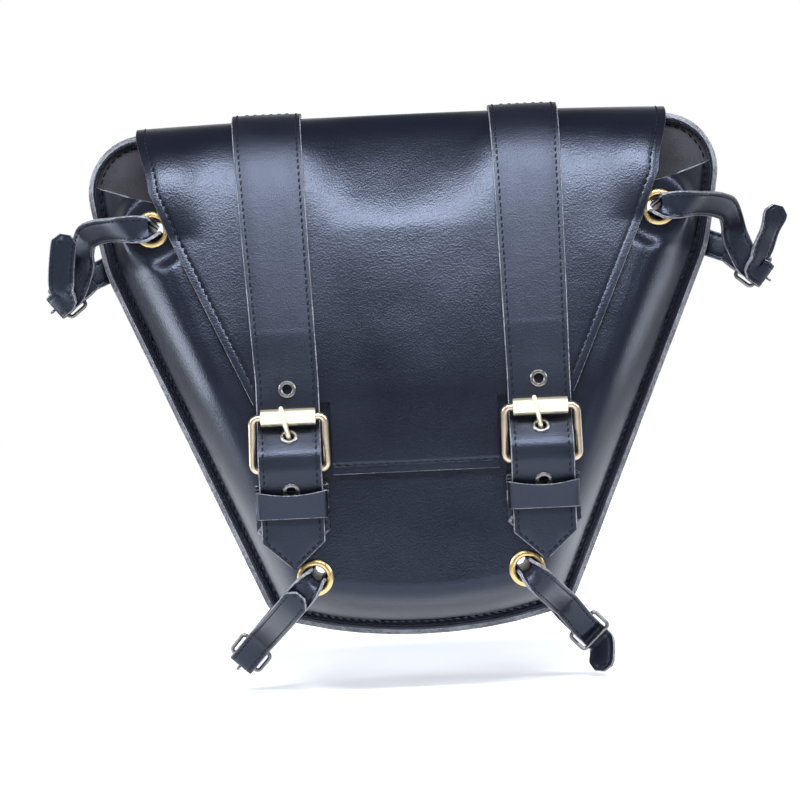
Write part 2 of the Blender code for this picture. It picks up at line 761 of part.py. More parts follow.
def strap_middle(side, z):
    """Sideways place of a strap's middle line; the left strap leans outwards above the buckle."""
    lean = LEFT_STRAP_LEAN if side < 0 else 0
    return side * STRAP_X + lean * clamp(z / STRAP_TOP_Z)


def strap_at(z):
    """Centre of the strap's thickness at a height, with its outward normal."""
    step = 1.5 * MM
    back = Vector((0, base_y(z) - strap_clearance(z), z))
    above = Vector((0, base_y(z + step) - strap_clearance(z + step), z + step))
    below = Vector((0, base_y(z - step) - strap_clearance(z - step), z - step))
    normal = Vector((1, 0, 0)).cross(above - below).normalized()
    return back + normal * STRAP / 2, normal


def on_front(centre_x, points):
    """Buckle points (sideways, height, clearance over the panel) in world metres."""
    return [
        Vector((centre_x + across, base_y(height) - clearance, height))
        for across, height, clearance in points]


def frame_route():
    """Closed wire of the buckle frame, with rounded corners."""
    heel_z, heel_n = HEEL
    top_z, top_n = ROLLER
    corners = [
        (-FRAME_HALF_HEEL, heel_z), (FRAME_HALF_HEEL, heel_z),
        (FRAME_HALF_TOP, top_z), (-FRAME_HALF_TOP, top_z)]
    route = []
    for index, corner in enumerate(corners):
        arc = fillet(corners[index - 1], corner, corners[(index + 1) % 4], FRAME_CORNER, 3)
        for point in arc:
            share = (point.y - heel_z) / (top_z - heel_z)
            route.append((point.x, point.y, lerp(heel_n, top_n, share)))
    return route


def prong_route():
    """Open eye round the heel bar, then up through the strap's hole and over the roller."""
    heel_z, heel_n = HEEL
    eye = WIRE + GAP + PRONG
    route = []
    for step in range(8):
        angle = math.radians(lerp(345, 90, step / 7))
        route.append((0, heel_z + eye * math.cos(angle), heel_n - eye * math.sin(angle)))
    for z, n in PRONG_SHANK:
        route.append((0, z * MM, n * MM))
    return route


def chape_route():
    heel_z, heel_n = HEEL
    route = [(z * MM, n * MM) for z, n in CHAPE_UP]
    for step in range(6):
        angle = math.radians(lerp(90, -90, step / 5))
        route.append((heel_z + CHAPE_LOOP * math.cos(angle), heel_n - CHAPE_LOOP * math.sin(angle)))
    route += [(z * MM, n * MM) for z, n in CHAPE_DOWN]
    return route


CHAPE_ROUTE = chape_route()


def chape_half(row):
    """Half-width of the chape: pointed tip, wide body, narrow loop inside the frame."""
    z = CHAPE_ROUTE[row][0]
    if row == 0:
        return CHAPE_TIP_HALF
    if row < len(CHAPE_UP) - 1 and z < CHAPE_NECK_Z:
        return CHAPE_HALF
    return CHAPE_LOOP_HALF


def keeper_rings(centre_x):
    """Band round the strap, gaping forwards at its upper edge."""
    half = STRAP_HALF + KEEPER_ROOM
    wall = KEEPER_WALL
    rear = KEEPER_REAR
    top_z, low_z = KEEPER_Z
    front_top, front_low = KEEPER_FRONT
    rings = []

    def around(z, front, grow):
        flat = [(-half, rear + wall), (half, rear + wall), (half, front), (-half, front)]
        corner = 2.5 * MM
        points = []
        for index, place in enumerate(flat):
            radius = corner if index > 1 else 1.0 * MM
            points += fillet(flat[index - 1], place, flat[(index + 1) % 4], radius, 2)
        centre = Vector((0, (rear + wall + front) / 2))
        grown = []
        for point in points:
            away = point - centre
            scale_x = (half + grow) / half
            scale_n = ((front - rear - wall) / 2 + grow) / ((front - rear - wall) / 2)
            grown.append((away.x * scale_x + centre.x, z, away.y * scale_n + centre.y))
        return on_front(centre_x, grown)

    for inner_top, outer_top, outer_low, inner_low in zip(
            around(top_z, front_top, 0), around(top_z, front_top, wall),
            around(low_z, front_low, wall), around(low_z, front_low, 0)):
        rings.append([inner_top, outer_top, outer_low, inner_low])
    return rings


def buckle_set(side, side_name):
    centre_x = side * STRAP_X
    heel_place = on_front(centre_x, [(0, *HEEL)])[0]
    roller_place = on_front(centre_x, [(0, *ROLLER)])[0]

    def strap_point(u, v):
        last = len(CENTRES) - 1
        y, z = CENTRES[round((1 - v) * last)]
        return Vector((strap_middle(side, z) + (2 * u - 1) * strap_half(z), y, z))

    strap = sheet(f"flap_strap_{side_name}", 2, len(CENTRES) - 1, strap_point, STRAP, 1, "strap")
    for number, hole_z in enumerate(HOLE_Z, 1):
        centre, normal = strap_at(hole_z)
        centre.x = centre_x
        cut(strap, drill(centre, normal, 3.65 * MM, 12 * MM))
        ring = turned(
            f"strap_eyelet_{side_name}_{number}", HOLE_PROFILE, centre + normal * STRAP / 2, normal,
            12, "nickel")
        attach(ring, flap_pivot)
    attach(strap, flap_pivot)

    def chape_point(u, v):
        row = round(v * (len(CHAPE_ROUTE) - 1))
        z, n = CHAPE_ROUTE[row]
        return on_front(centre_x, [((2 * u - 1) * chape_half(row), z, n)])[0]

    chape = sheet(f"chape_{side_name}", 2, len(CHAPE_ROUTE) - 1, chape_point, CHAPE, 0, "strap")
    slot_place = on_front(centre_x, [(0, -48.6 * MM, HEEL[1])])[0]
    cut(chape, box_cutter(slot_place, (3.4 * MM, 16 * MM, 10.4 * MM), 0))
    loft(f"keeper_{side_name}", keeper_rings(centre_x), "strap")

    frame_pivot = pivot_at(f"buckle_pivot_{side_name}", heel_place)
    frame = wire(f"buckle_frame_{side_name}", on_front(centre_x, frame_route()), WIRE, True, "bronze")
    attach(frame, frame_pivot)
    prong = wire(f"buckle_prong_{side_name}", on_front(centre_x, prong_route()), PRONG, False, "gold")
    attach(prong, frame_pivot)
    tube = [(WIRE + GAP, -ROLLER_LENGTH / 2), (WIRE + GAP, ROLLER_LENGTH / 2),
            (ROLLER_RADIUS, ROLLER_LENGTH / 2), (ROLLER_RADIUS, -ROLLER_LENGTH / 2)]
    roller = turned(f"buckle_roller_{side_name}", tube, roller_place, Vector((1, 0, 0)), 16, "gold")
    attach(roller, frame_pivot)


for side, side_name in ((-1, "left"), (1, "right")):
    buckle_set(side, side_name)


# ---------------------------------------------------------------- mounting loops

def tie_stations(loop):
    """Centreline stations (x, y, z, fold) of one mounting strap, from its sewn end to its tip."""
    out = Vector((loop["along"][0], 0, loop["along"][1])).normalized()
    heel = Vector((loop["heel"][0], -1, loop["heel"][1]))
    eyelet_x, eyelet_z = (value / MM for value in loop["eyelet"])
    to_heel = Vector((heel.x - eyelet_x, 0, heel.z - eyelet_z))
    line = to_heel.normalized()
    front = -panel_y(*loop["eyelet"]) / MM

    def by_buckle(places):
        return [(*(heel + out * along - Vector((0, forward, 0))), 0) for along, forward in places]

    def behind(along, y, fold):
        return (eyelet_x + line.x * along, y, eyelet_z + line.z * along, fold)

    stations = by_buckle(TIE_FOLD_BACK)
    reach = to_heel.length - 12
    stations += [
        behind(lerp(reach, 14, 0.4), 6.6, 0), behind(lerp(reach, 14, 0.75), 7.4, 0), behind(14, 7.4, 0)]
    stations += [behind(6, 7.1, 0.35), behind(1.2, 5.2, 0.9)]
    for step in range(INSIDE_STEPS + 1):
        stations.append((eyelet_x, lerp(1.5, -front - 1.0, step / INSIDE_STEPS), eyelet_z, 1))
    first, *rest = loop["front"]
    stations.append((lerp(eyelet_x, first[0], 0.35), -front - 5.4, lerp(eyelet_z, first[2], 0.35), 0.85))
    stations.append((first[0], -first[1], first[2], 0.45))
    stations += [(x, -forward, z, 0) for x, forward, z in rest]
    stations += by_buckle(TIE_THROUGH)
    if loop["over"]:
        stations += by_buckle(TIE_OVER)
    else:
        stations += by_buckle(((15.5, -2.6),))
    stations += [(x, -forward, z, 0) for x, forward, z in loop["tail"]]
    return stations


def tie_frames(loop):
    """Points, width and face directions along one mounting strap, in metres."""
    side = loop["side"]
    rows = [(side * x, y, z, fold) for x, y, z, fold in tie_stations(loop)]
    across = Vector((-side * loop["along"][1], 0, loop["along"][0])).normalized()
    frames = []
    last = len(rows) - 1
    for index, (x, y, z, fold) in enumerate(rows):
        ahead = Vector(rows[min(index + 1, last)][:3])
        behind = Vector(rows[max(index - 1, 0)][:3])
        tangent = (ahead - behind).normalized()
        width = across - tangent * across.dot(tangent)
        width.normalize()
        frames.append((Vector((x, y, z)) * MM, width, tangent.cross(width), clamp(fold)))
    return frames


def mounting_loop(name, loop):
    frames = tie_frames(loop)
    side = loop["side"]
    last = len(frames) - 1

    def tie_point(u, v):
        index = round(v * last)
        place, width, normal, fold = frames[index]
        half = TIE_HALF if index < last else 3.5 * MM
        angle = TIE_FOLD * fold
        offset = (2 * u - 1) * half
        depth = (abs(offset) - half / 2) * math.sin(angle)
        return place + width * offset * math.cos(angle) + normal * depth * side

    tie = sheet(f"mount_strap_{name}", 2, last, tie_point, TIE, 0, "strap")
    along = Vector((side * loop["along"][0], 0, loop["along"][1])).normalized()
    across = Vector((along.z, 0, -along.x))
    heel = Vector((side * loop["heel"][0], -1, loop["heel"][1])) * MM
    turn = math.atan2(-along.z, along.x)
    slot = box_cutter(heel + along * 0.2 * MM, (9.4 * MM, 7.6 * MM, 3.0 * MM), turn)
    cut(tie, slot)

    corners = [(0, -SMALL_FRAME_HALF), (SMALL_FRAME_LENGTH, -SMALL_FRAME_HALF),
               (SMALL_FRAME_LENGTH, SMALL_FRAME_HALF), (0, SMALL_FRAME_HALF)]
    route = []
    for index, corner in enumerate(corners):
        for point in fillet(corners[index - 1], corner, corners[(index + 1) % 4], 2.2 * MM, 2):
            route.append(heel + along * point.x + across * point.y)
    frame = wire(f"mount_frame_{name}", route, SMALL_WIRE, True, "nickel")

    eye = SMALL_WIRE + GAP + SMALL_PRONG
    shank = []
    for step in range(8):
        angle = math.radians(lerp(10, 270, step / 7))
        shank.append(heel + along * eye * math.cos(angle) - Vector((0, eye * math.sin(angle), 0)))
    for reach, forward in SMALL_PRONG_ROUTE:
        shank.append(heel + along * reach * MM - Vector((0, forward * MM, 0)))
    prong = wire(f"mount_prong_{name}", shank, SMALL_PRONG, False, "nickel")

    eyelet_x, eyelet_z = loop["eyelet"]
    swing = pivot_at(f"mount_pivot_{name}", Vector((side * eyelet_x, 0, eyelet_z)))
    attach(tie, swing)
    attach(frame, swing)
    attach(prong, pivot_at(f"mount_prong_pivot_{name}", heel))


for loop_name, loop_data in LOOPS.items():
    mounting_loop(loop_name, loop_data)
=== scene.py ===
"""Looks of the leather saddle bag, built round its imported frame.

-Y is the front, +Z is up, metres. Every piece stands for one or more CAD nodes and rides on their body.
The leather sheets follow the same outline and bulge formulas as the solids, on finer grids.
"""

import math

import bmesh
import bpy
import numpy as np
from mathutils import Quaternion, Matrix, Vector, noise


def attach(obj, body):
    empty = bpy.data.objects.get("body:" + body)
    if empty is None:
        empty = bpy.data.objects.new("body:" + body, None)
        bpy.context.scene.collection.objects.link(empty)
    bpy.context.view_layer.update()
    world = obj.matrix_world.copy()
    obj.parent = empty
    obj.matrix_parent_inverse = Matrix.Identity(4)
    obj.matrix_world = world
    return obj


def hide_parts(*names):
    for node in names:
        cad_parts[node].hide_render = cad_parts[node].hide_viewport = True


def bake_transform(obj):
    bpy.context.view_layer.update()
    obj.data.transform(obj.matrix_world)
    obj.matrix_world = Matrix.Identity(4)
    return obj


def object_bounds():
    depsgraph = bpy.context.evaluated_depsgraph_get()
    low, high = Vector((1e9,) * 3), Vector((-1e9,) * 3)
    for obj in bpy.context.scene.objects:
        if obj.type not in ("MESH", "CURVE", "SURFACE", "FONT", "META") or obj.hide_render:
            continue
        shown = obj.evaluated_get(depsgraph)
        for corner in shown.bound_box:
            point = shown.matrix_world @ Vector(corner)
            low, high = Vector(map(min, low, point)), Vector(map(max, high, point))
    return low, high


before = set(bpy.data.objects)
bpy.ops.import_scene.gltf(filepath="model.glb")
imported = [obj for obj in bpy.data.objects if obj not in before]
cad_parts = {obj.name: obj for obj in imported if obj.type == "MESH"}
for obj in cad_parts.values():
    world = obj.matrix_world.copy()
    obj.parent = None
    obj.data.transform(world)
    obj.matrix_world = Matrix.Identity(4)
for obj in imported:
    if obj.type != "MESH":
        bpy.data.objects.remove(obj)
CAD_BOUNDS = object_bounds()

MM = 0.001
GAP = 0.3 * MM
SIDES = ((-1, "left"), (1, "right"))

# Outline of the bag, right half, seen from the front
TOP_Z = 150 * MM
BOTTOM_Z = -151 * MM
BOTTOM_RADIUS = 304 * MM
FOOT = (88 * MM, -138.2 * MM)
FOOT_RADIUS = 22 * MM
BEND = (178 * MM, 70 * MM)
BEND_RADIUS = 80 * MM
SHOULDER = (192 * MM, 150 * MM)
SHOULDER_RADIUS = 34 * MM
CORNER_STEPS = 12
# Places along the foot, in mm from the middle
FOOT_XS = range(0, 60, 5)

# Layers, from the rear face forwards
LEATHER = 2.2 * MM
BOARD = 1.8 * MM
BOARD_INSET = 6 * MM
LINING = 0.8 * MM
BOARD_Y = -(LEATHER + GAP)
LINING_Y = BOARD_Y - BOARD - GAP
FLANGE_Y = LINING_Y - LINING - GAP
FRONT_BASE = -FLANGE_Y + LEATHER

# Edge of stacked leather layers all round
BINDING_WIDTH = 4.8 * MM
BINDING_BACK_Y = -0.3 * MM
BINDING_FRONT_Y = -9.6 * MM
PANEL_INSET = BINDING_WIDTH + GAP
SEAM_INSET = 2.4 * MM

# Bulge of the front panel above its sewn flange
FLANGE = 4 * MM
BULGE_MAX = 66 * MM
BULGE_TOP = 46 * MM
BULGE_START_Z = -10 * MM
BULGE_END_Z = 100 * MM
REACH_LOW = 24 * MM
REACH_HIGH = 33 * MM
MOUTH_SIDE_Z = 120 * MM
MOUTH_DIP = 20 * MM
EYELET_FLAT = 16 * MM
EYELET_BLEND = 9 * MM
EYELET_LIFT = 0.9 * MM
EYELET_HOLE = 7.5 * MM
# Section of the large brass eyelets in mm: radii of the tube, (radius, height) of the flange, tube depths
EYELET_TUBE = (6.7, 7.2)
EYELET_FLANGE = ((10.35, 0.1), (10.35, 0.6), (9.4, 1.3), (8.2, 1.5), (7.2, 1.25), (6.7, 0.6))
EYELET_DEPTHS = {"front": 4.6, "back": 5.6}
EYELET_DRILL = 24 * MM
LINING_SLACK = 2.2 * MM
RIM_ROUND = 0.3 * MM
CORNER_SEAM_X = 130 * MM
PANEL_COLUMNS = 150
PANEL_ROWS = 120
# Shares of the way from the centre to the rim at which the rear panel's mesh rings near its seam lie
RIM_SHARES = [1, 0.9965, 0.993, 0.9895, 0.986, 0.9825, 0.979, 0.975, 0.965]

# Flap
FLAP = 1.6 * MM
FLAP_OUT = 3.8 * MM
FLAP_LINING = 0.5 * MM
FLAP_LINING_GAP = 0.25 * MM
FLAP_FRONT_Z = 85 * MM
FLAP_FOLD_Y = -10.5 * MM
FLAP_FLAT_ROWS = 1 / 16
FLAP_TOP_ROWS = 7 / 16
# Mesh rows of the fold, of the front and, closer together, of the lower edge: start, end and number
FLAP_ROW_RUNS = ((FLAP_FLAT_ROWS, FLAP_TOP_ROWS, 46), (FLAP_TOP_ROWS, 0.955, 56), (0.955, 1, 22))
FLAP_TOP_Z = 152.4 * MM
FLAP_CROWN = 2.5 * MM
# Half-widths at the upper and lower end of the flap's taper, and how much wider it flares over the fold
FLAP_HALF_WIDTHS = (146 * MM, 74 * MM)
FLAP_TAPER_Z = 110 * MM
FLAP_TAPER_HEIGHT = 158 * MM
FLAP_FLARE = 8 * MM
FLAP_FLARE_Z = 108 * MM
# Sag between the straps, the half-width it takes up, and the slow swell elsewhere
FLAP_SAG = 5.0 * MM
FLAP_SAG_HALF = 56 * MM
FLAP_SWELL = 0.9 * MM
FLAP_LOW_Z = -53 * MM
FLAP_TONGUE_HALF = 47.2 * MM
FLAP_STEP_Z = -12 * MM
# Half size of the square cutter that takes away each lower corner, and how far forward it stands
FLAP_CUT_HALF = 45 * MM
FLAP_CUT_Y = -70 * MM
FLAP_FULLNESS = (0.5, 0.62)
FLAP_FULL_X = (26 * MM, 54 * MM)
FLAP_UPRIGHT_X = (110 * MM, 133 * MM)
FLAP_STITCH = 5 * MM
# Distances from the flap's side edge at which its mesh columns lie, in mm
FLAP_MARGIN = (0, 0.8, 2.2, 3.4, 4.1, 4.6, 5.0, 5.4, 5.9, 6.6, 8.5, 12)
FLAP_INNER_COLUMNS = 84
HINGE = Vector((0, 1.2 * MM, 151.4 * MM))
ANCHOR_HALF = 153 * MM
ANCHOR_SEAM_HALF = 148 * MM
ANCHOR_LOW_Z = 122 * MM
ANCHOR_Y = 2.1 * MM
# Heights of the sewn end's two seams and of its mesh rows above its lower edge, the rows in mm
ANCHOR_SEAMS = (5 * MM, 23 * MM)
ANCHOR_ROWS = (0, 0.6, 1.8, 3.2, 4.0, 4.5, 5.0, 5.5, 6.2, 8, 12, 16, 19, 21, 22, 22.5, 23, 23.5, 24, 24.6)

# Closing straps and their roller buckles
STRAP_X = 71 * MM
STRAP_HALF = 18 * MM
STRAP_TOP_Z = 150 * MM
STRAP_WIDENING = 2.2 * MM
LEFT_STRAP_LEAN = -7 * MM
STRAP = 2.4 * MM
STRAP_LIFT = 0.9 * MM
STRAP_START = 0.045
STRAP_STITCH = 3 * MM
TIP_Z = -105 * MM
TIP_SHOULDER = 15 * MM
HOLE_Z = (-4 * MM, -32 * MM, -60 * MM)
STRAP_HOLE = 3.5 * MM
# Section of a strap's small eyelets, (radius, height) in mm
STRAP_EYELET = ((2.65, -2.2), (2.9, -2.2), (3.3, 0.3), (5.0, 0.3), (5.0, 0.75), (4.3, 1.2), (3.4, 1.25),
                (2.75, 0.8))
HEEL = (-49 * MM, 9.4 * MM)
ROLLER = (-19.5 * MM, 11.65 * MM)
WIRE = 2.1 * MM
FRAME_HALF_HEEL = 21 * MM
FRAME_HALF_TOP = 20.5 * MM
FRAME_CORNER = 3.5 * MM
ROLLER_LENGTH = 31 * MM
ROLLER_RADIUS = 4.75 * MM
PRONG = 1.2 * MM
CHAPE = 1.6 * MM
CHAPE_LOOP = 3.2 * MM
CHAPE_HALF = 21 * MM
CHAPE_LOOP_HALF = 16.3 * MM
CHAPE_WAIST_Z = -54.5 * MM
CHAPE_TIP_Z = -103 * MM
CHAPE_SLOT_Z = -48.6 * MM
KEEPER_TOP_Z = -61.5 * MM
KEEPER_LOW_Z = -76.5 * MM
KEEPER_DIP = 2.4 * MM
KEEPER_WALL = 1.2 * MM
KEEPER_REAR = 4.5 * MM
# Clearance of the keeper's front over the panel, at its upper and lower edge
KEEPER_FRONT = (14.0 * MM, 10.2 * MM)
PRONG_LEAN = -3.5 * MM
PRONG_EXTRA = 0.2 * MM

# Strap route below the flap's fold: height and clearance of its back face, in mm
STRAP_ROUTE = (
    (10, 4.1), (-4, 4.1), (-20, 4.1), (-24.5, 4.4), (-27, 5.2), (-32, 8.6), (-37, 12.0), (-41, 14.1),
    (-45, 14.6), (-50, 14.4), (-54, 12.4), (-60, 9.3), (-66, 6.4), (-71, 6.0), (-85, 5.7), (-105, 5.0))
# Chape: height and clearance of its middle, in mm: back layer from the tip up, then front layer down
CHAPE_UP = ((-103, 1.2), (-84, 1.2), (-64, 1.2), (-60, 1.8), (-56.5, 4.0), (-53, 5.9))
CHAPE_DOWN = ((-52, 12.0), (-56, 7.0), (-59.5, 3.7), (-64, 3.3), (-75, 3.3))

# Mounting loops
TOP_EYELET = (145 * MM, 91 * MM)
LOW_EYELET = (60 * MM, -111 * MM)
TIE_HALF = 8 * MM
TIE = 2.0 * MM
TIE_CURL = math.radians(100)
# Half-width at the very tip, and the length over which the strap narrows to it
TIE_TIP_HALF = 3.5 * MM
TIE_TIP = 4.5 * MM
TIE_STITCH = 2.5 * MM
SMALL_WIRE = 1.15 * MM
SMALL_PRONG = 0.8 * MM
SMALL_FRAME_HALF = 10.35 * MM
SMALL_FRAME_LENGTH = 12 * MM
TIE_FOLD_BACK = ((-12, 2.6), (-7, 2.45), (-3, 2.45), (0, 2.45), (1.73, 1.73), (2.45, 0), (1.73, -1.73),
                 (0, -2.45), (-3, -2.45), (-7, -2.45), (-12, -2.45))
TIE_THROUGH = ((1, 5.2), (4.3, 3.4), (6.2, 0.2), (8.2, -2.3), (12, -2.9))
TIE_OVER = ((14.8, -1.2), (14.8, 2.2), (11.8, 5.2), (7, 7.6))
TIE_UNDER = ((15.5, -2.6),)
SMALL_PRONG_ROUTE = ((3, -3.3), (7, -4.8), (13, -5.0), (19, -4.2))
INSIDE_STEPS = 4
# Front and tail routes are (outwards, forward, height) in mm;
# the others are (along, forward) in mm from the heel bar
LOOPS = {
    "top_left": dict(
        side=-1, eyelet=TOP_EYELET, heel=(196, 60), along=(0.78, -0.62), over=True,
        front=((148, 61.5, 91), (158, 61, 91.5), (167, 54, 92), (175, 41, 92.5), (182, 27, 92),
               (187, 15.5, 90), (190, 8, 83), (191.5, 5, 74)),
        tail=((203, 10.5, 62), (202.5, 11.5, 72), (201, 13, 83), (199, 14, 93))),
    "top_right": dict(
        side=1, eyelet=TOP_EYELET, heel=(199, 60), along=(0.78, -0.62), over=True,
        front=((148, 61.5, 91), (158, 61, 91.5), (167, 54, 92), (175, 41, 92.5), (183, 27, 92),
               (189, 15.5, 90), (192, 8, 83), (194, 5, 74)),
        tail=((207.5, 11, 63), (211, 13.5, 72), (215, 16.5, 82), (218, 18, 91))),
    "bottom_left": dict(
        side=-1, eyelet=LOW_EYELET, heel=(98, -153), along=(0.67, -0.742), over=True,
        front=((64, 81.5, -115.4), (70, 79.5, -122), (78, 64, -131), (84, 44, -137.7), (89.5, 22, -143.6)),
        tail=((96.5, 13, -151), (92.7, 24, -147), (87.3, 46, -141), (81.3, 66, -134.4), (75, 81, -127.3),
              (68.5, 87.5, -120))),
    "bottom_right": dict(
        side=1, eyelet=LOW_EYELET, heel=(93.5, -149), along=(0.69, -0.724), over=False,
        front=((64, 81.5, -115.4), (70, 79.5, -121.5), (76.5, 62, -128.4), (81.4, 42, -133.5),
               (84.5, 20, -137)),
        tail=((105, -0.5, -162), (104.5, 3, -169), (102.5, 6, -177))),
}
FORWARD = Vector((0, -1, 0))
REAR = Vector((0, 1, 0))
RIGHT = Vector((1, 0, 0))
UP = Vector((0, 0, 1))
WIRE_SIDES = 20

# Thread: radius, and a stitch's (place along its length, width and lift as shares of the radius)
THREAD = 0.5 * MM
STITCH_RINGS = ((-0.5, 0.25, -0.9), (-0.42, 0.75, -0.25), (-0.2, 1, 0.12),
                (0.2, 1, 0.12), (0.42, 0.75, -0.25), (0.5, 0.25, -0.9))
STITCH_SIDES = 7


# ---------------------------------------------------------------- materials


def shader_of(name, colour, roughness, metallic=0.0):
    """A node material with its principled shader, ready for detail nodes."""
    result = bpy.data.materials.new(name)
    result.use_nodes = True
    tree = result.node_tree
    shader = tree.nodes["Principled BSDF"]
    shader.inputs["Base Color"].default_value = (*colour, 1)
    shader.inputs["Roughness"].default_value = roughness
    shader.inputs["Metallic"].default_value = metallic
    result.diffuse_color = (*colour, 1)
    place = tree.nodes.new("ShaderNodeTexCoord").outputs["Object"]
    return result, tree, shader, place


def add_node(tree, kind, inputs):
    """A shader node; each input is a value or the output it is linked to."""
    node = tree.nodes.new("ShaderNode" + kind)
    for socket, value in inputs.items():
        if isinstance(value, bpy.types.NodeSocket):
            tree.links.new(value, node.inputs[socket])
        else:
            node.inputs[socket].default_value = value
    return node


def math_node(tree, operation, *values):
    node = add_node(tree, "Math", dict(enumerate(values)))
    node.operation = operation
    return node.outputs["Value"]


def noise_node(tree, place, scale, detail=3.0, roughness=0.55):
    inputs = {"Scale": scale, "Detail": detail, "Roughness": roughness, "Vector": place}
    return add_node(tree, "TexNoise", inputs).outputs["Fac"]


def pebbles(tree, place, scale):
    return add_node(tree, "TexVoronoi", {"Scale": scale, "Vector": place}).outputs["Distance"]


def remap(tree, value, low, high, to_low, to_high):
    inputs = {"Value": value, "From Min": low, "From Max": high, "To Min": to_low, "To Max": to_high}
    return add_node(tree, "MapRange", inputs).outputs["Result"]


def ramp(tree, value, stops):
    node = add_node(tree, "ValToRGB", {"Fac": value})
    elements = node.color_ramp.elements
    while len(elements) < len(stops):
        elements.new(0.5)
    for element, (position, colour) in zip(elements, stops):
        element.position = position
        element.color = (*colour, 1)
    return node.outputs["Color"]


def colour_by(tree, shader, value, stops):
    tree.links.new(ramp(tree, value, stops), shader.inputs["Base Color"])


def add_up(tree, first, second, share):
    """first + share * second."""
    return math_node(tree, "MULTIPLY_ADD", second, share, first)


def bump(tree, shader, height, strength, distance):
    node = add_node(tree, "Bump", {"Strength": strength, "Distance": distance, "Height": height})
    tree.links.new(node.outputs["Normal"], shader.inputs["Normal"])


def leather(name, dark, light, grain, rough_low, rough_high):
    """Coated leather: pebble grain, soft wrinkles, cloudy colour and uneven gloss."""
    result, tree, shader, place = shader_of(name, dark, (rough_low + rough_high) / 2)
    colour_by(tree, shader, noise_node(tree, place, 22, 4), ((0.3, dark), (0.72, light)))
    cells = pebbles(tree, place, grain)
    creases = noise_node(tree, place, 130, 5, 0.6)
    scuffs = noise_node(tree, place, 420, 3, 0.7)
    patches = add_up(tree, noise_node(tree, place, 30, 2), scuffs, 0.25)
    tree.links.new(remap(tree, patches, 0.35, 0.95, rough_low, rough_high), shader.inputs["Roughness"])
    bump(tree, shader, add_up(tree, creases, cells, 0.55), 0.3, 0.5 * MM)
    shader.inputs["Specular IOR Level"].default_value = 0.45
    shader.inputs["Specular Tint"].default_value = (0.72, 0.8, 1.0, 1)
    return result


def cut_edge():
    """Painted cut edge of leather, with fibre streaks and rubbed pale patches."""
    dark, grey, pale = (0.035, 0.035, 0.04), (0.1, 0.1, 0.11), (0.2, 0.2, 0.215)
    result, tree, shader, place = shader_of("cut_edge", grey, 0.55)
    streaks = noise_node(tree, place, 700, 3, 0.6)
    rubbed = add_up(tree, streaks, noise_node(tree, place, 60, 3), 0.8)
    colour_by(tree, shader, rubbed, ((0.55, dark), (0.85, grey), (1.0, pale)))
    bump(tree, shader, streaks, 0.5, 0.3 * MM)
    return result


def suede(name, dark, light):
    """Napped fabric or flesh side of leather."""
    result, tree, shader, place = shader_of(name, dark, 0.92)
    nap = noise_node(tree, place, 900, 4, 0.7)
    mottle = add_up(tree, nap, noise_node(tree, place, 70, 3), 0.9)
    colour_by(tree, shader, mottle, ((0.6, dark), (1.1, light)))
    bump(tree, shader, nap, 0.6, 0.4 * MM)
    shader.inputs["Sheen Weight"].default_value = 0.25
    shader.inputs["Sheen Roughness"].default_value = 0.5
    return result


def thread():
    """Waxed black thread with a fine twist."""
    result, tree, shader, place = shader_of("black_thread", (0.004, 0.004, 0.005), 0.7)
    shader.inputs["Specular IOR Level"].default_value = 0.2
    fibres = noise_node(tree, place, 3000, 2, 0.5)
    colour_by(tree, shader, fibres, ((0.35, (0.002, 0.002, 0.003)), (0.75, (0.008, 0.008, 0.011))))
    bump(tree, shader, fibres, 0.6, 0.2 * MM)
    return result


def board():
    result, tree, shader, place = shader_of("grey_board", (0.2, 0.16, 0.11), 0.9)
    fibres = noise_node(tree, place, 500, 4, 0.6)
    colour_by(tree, shader, fibres, ((0.3, (0.15, 0.12, 0.08)), (0.7, (0.25, 0.2, 0.14))))
    bump(tree, shader, fibres, 0.3, 0.3 * MM)
    return result


def metal(name, bright, dull, rough_low, rough_high):
    """Cast or plated metal with tarnish clouds and uneven polish."""
    result, tree, shader, place = shader_of(name, bright, rough_low, 1.0)
    colour_by(tree, shader, noise_node(tree, place, 140, 3, 0.6), ((0.25, dull), (0.55, bright)))
    marks = noise_node(tree, place, 600, 3, 0.55)
    tree.links.new(remap(tree, marks, 0.3, 0.75, rough_low, rough_high), shader.inputs["Roughness"])
    return result


BAG_LEATHER = leather("bag_leather", (0.002, 0.0023, 0.005), (0.0034, 0.0039, 0.008), 950, 0.27, 0.35)
STRAP_LEATHER = leather("strap_leather", (0.0024, 0.0027, 0.0055), (0.0046, 0.0052, 0.0095), 1250, 0.32, 0.44)
EDGE = cut_edge()
LINING_CLOTH = suede("lining_cloth", (0.012, 0.012, 0.015), (0.035, 0.034, 0.038))
FLESH_SIDE = suede("flesh_side", (0.03, 0.028, 0.028), (0.085, 0.08, 0.078))
THREAD_BLACK = thread()
BOARD_GREY = board()
BRASS = metal("brass", (0.62, 0.44, 0.2), (0.46, 0.32, 0.14), 0.26, 0.36)
PALE_BRASS = metal("pale_brass", (0.93, 0.84, 0.6), (0.91, 0.81, 0.56), 0.42, 0.46)
BRONZE = metal("bronze", (0.52, 0.42, 0.3), (0.4, 0.32, 0.23), 0.28, 0.38)
DARK_NICKEL = metal("dark_nickel", (0.22, 0.21, 0.2), (0.13, 0.125, 0.12), 0.25, 0.38)


# ---------------------------------------------------------------- outline and surfaces


def lerp(a, b, t):
    return a + (b - a) * t


def clamp(value):
    return min(max(value, 0), 1)


def smooth(t):
    t = clamp(t)
    return t * t * (3 - 2 * t)


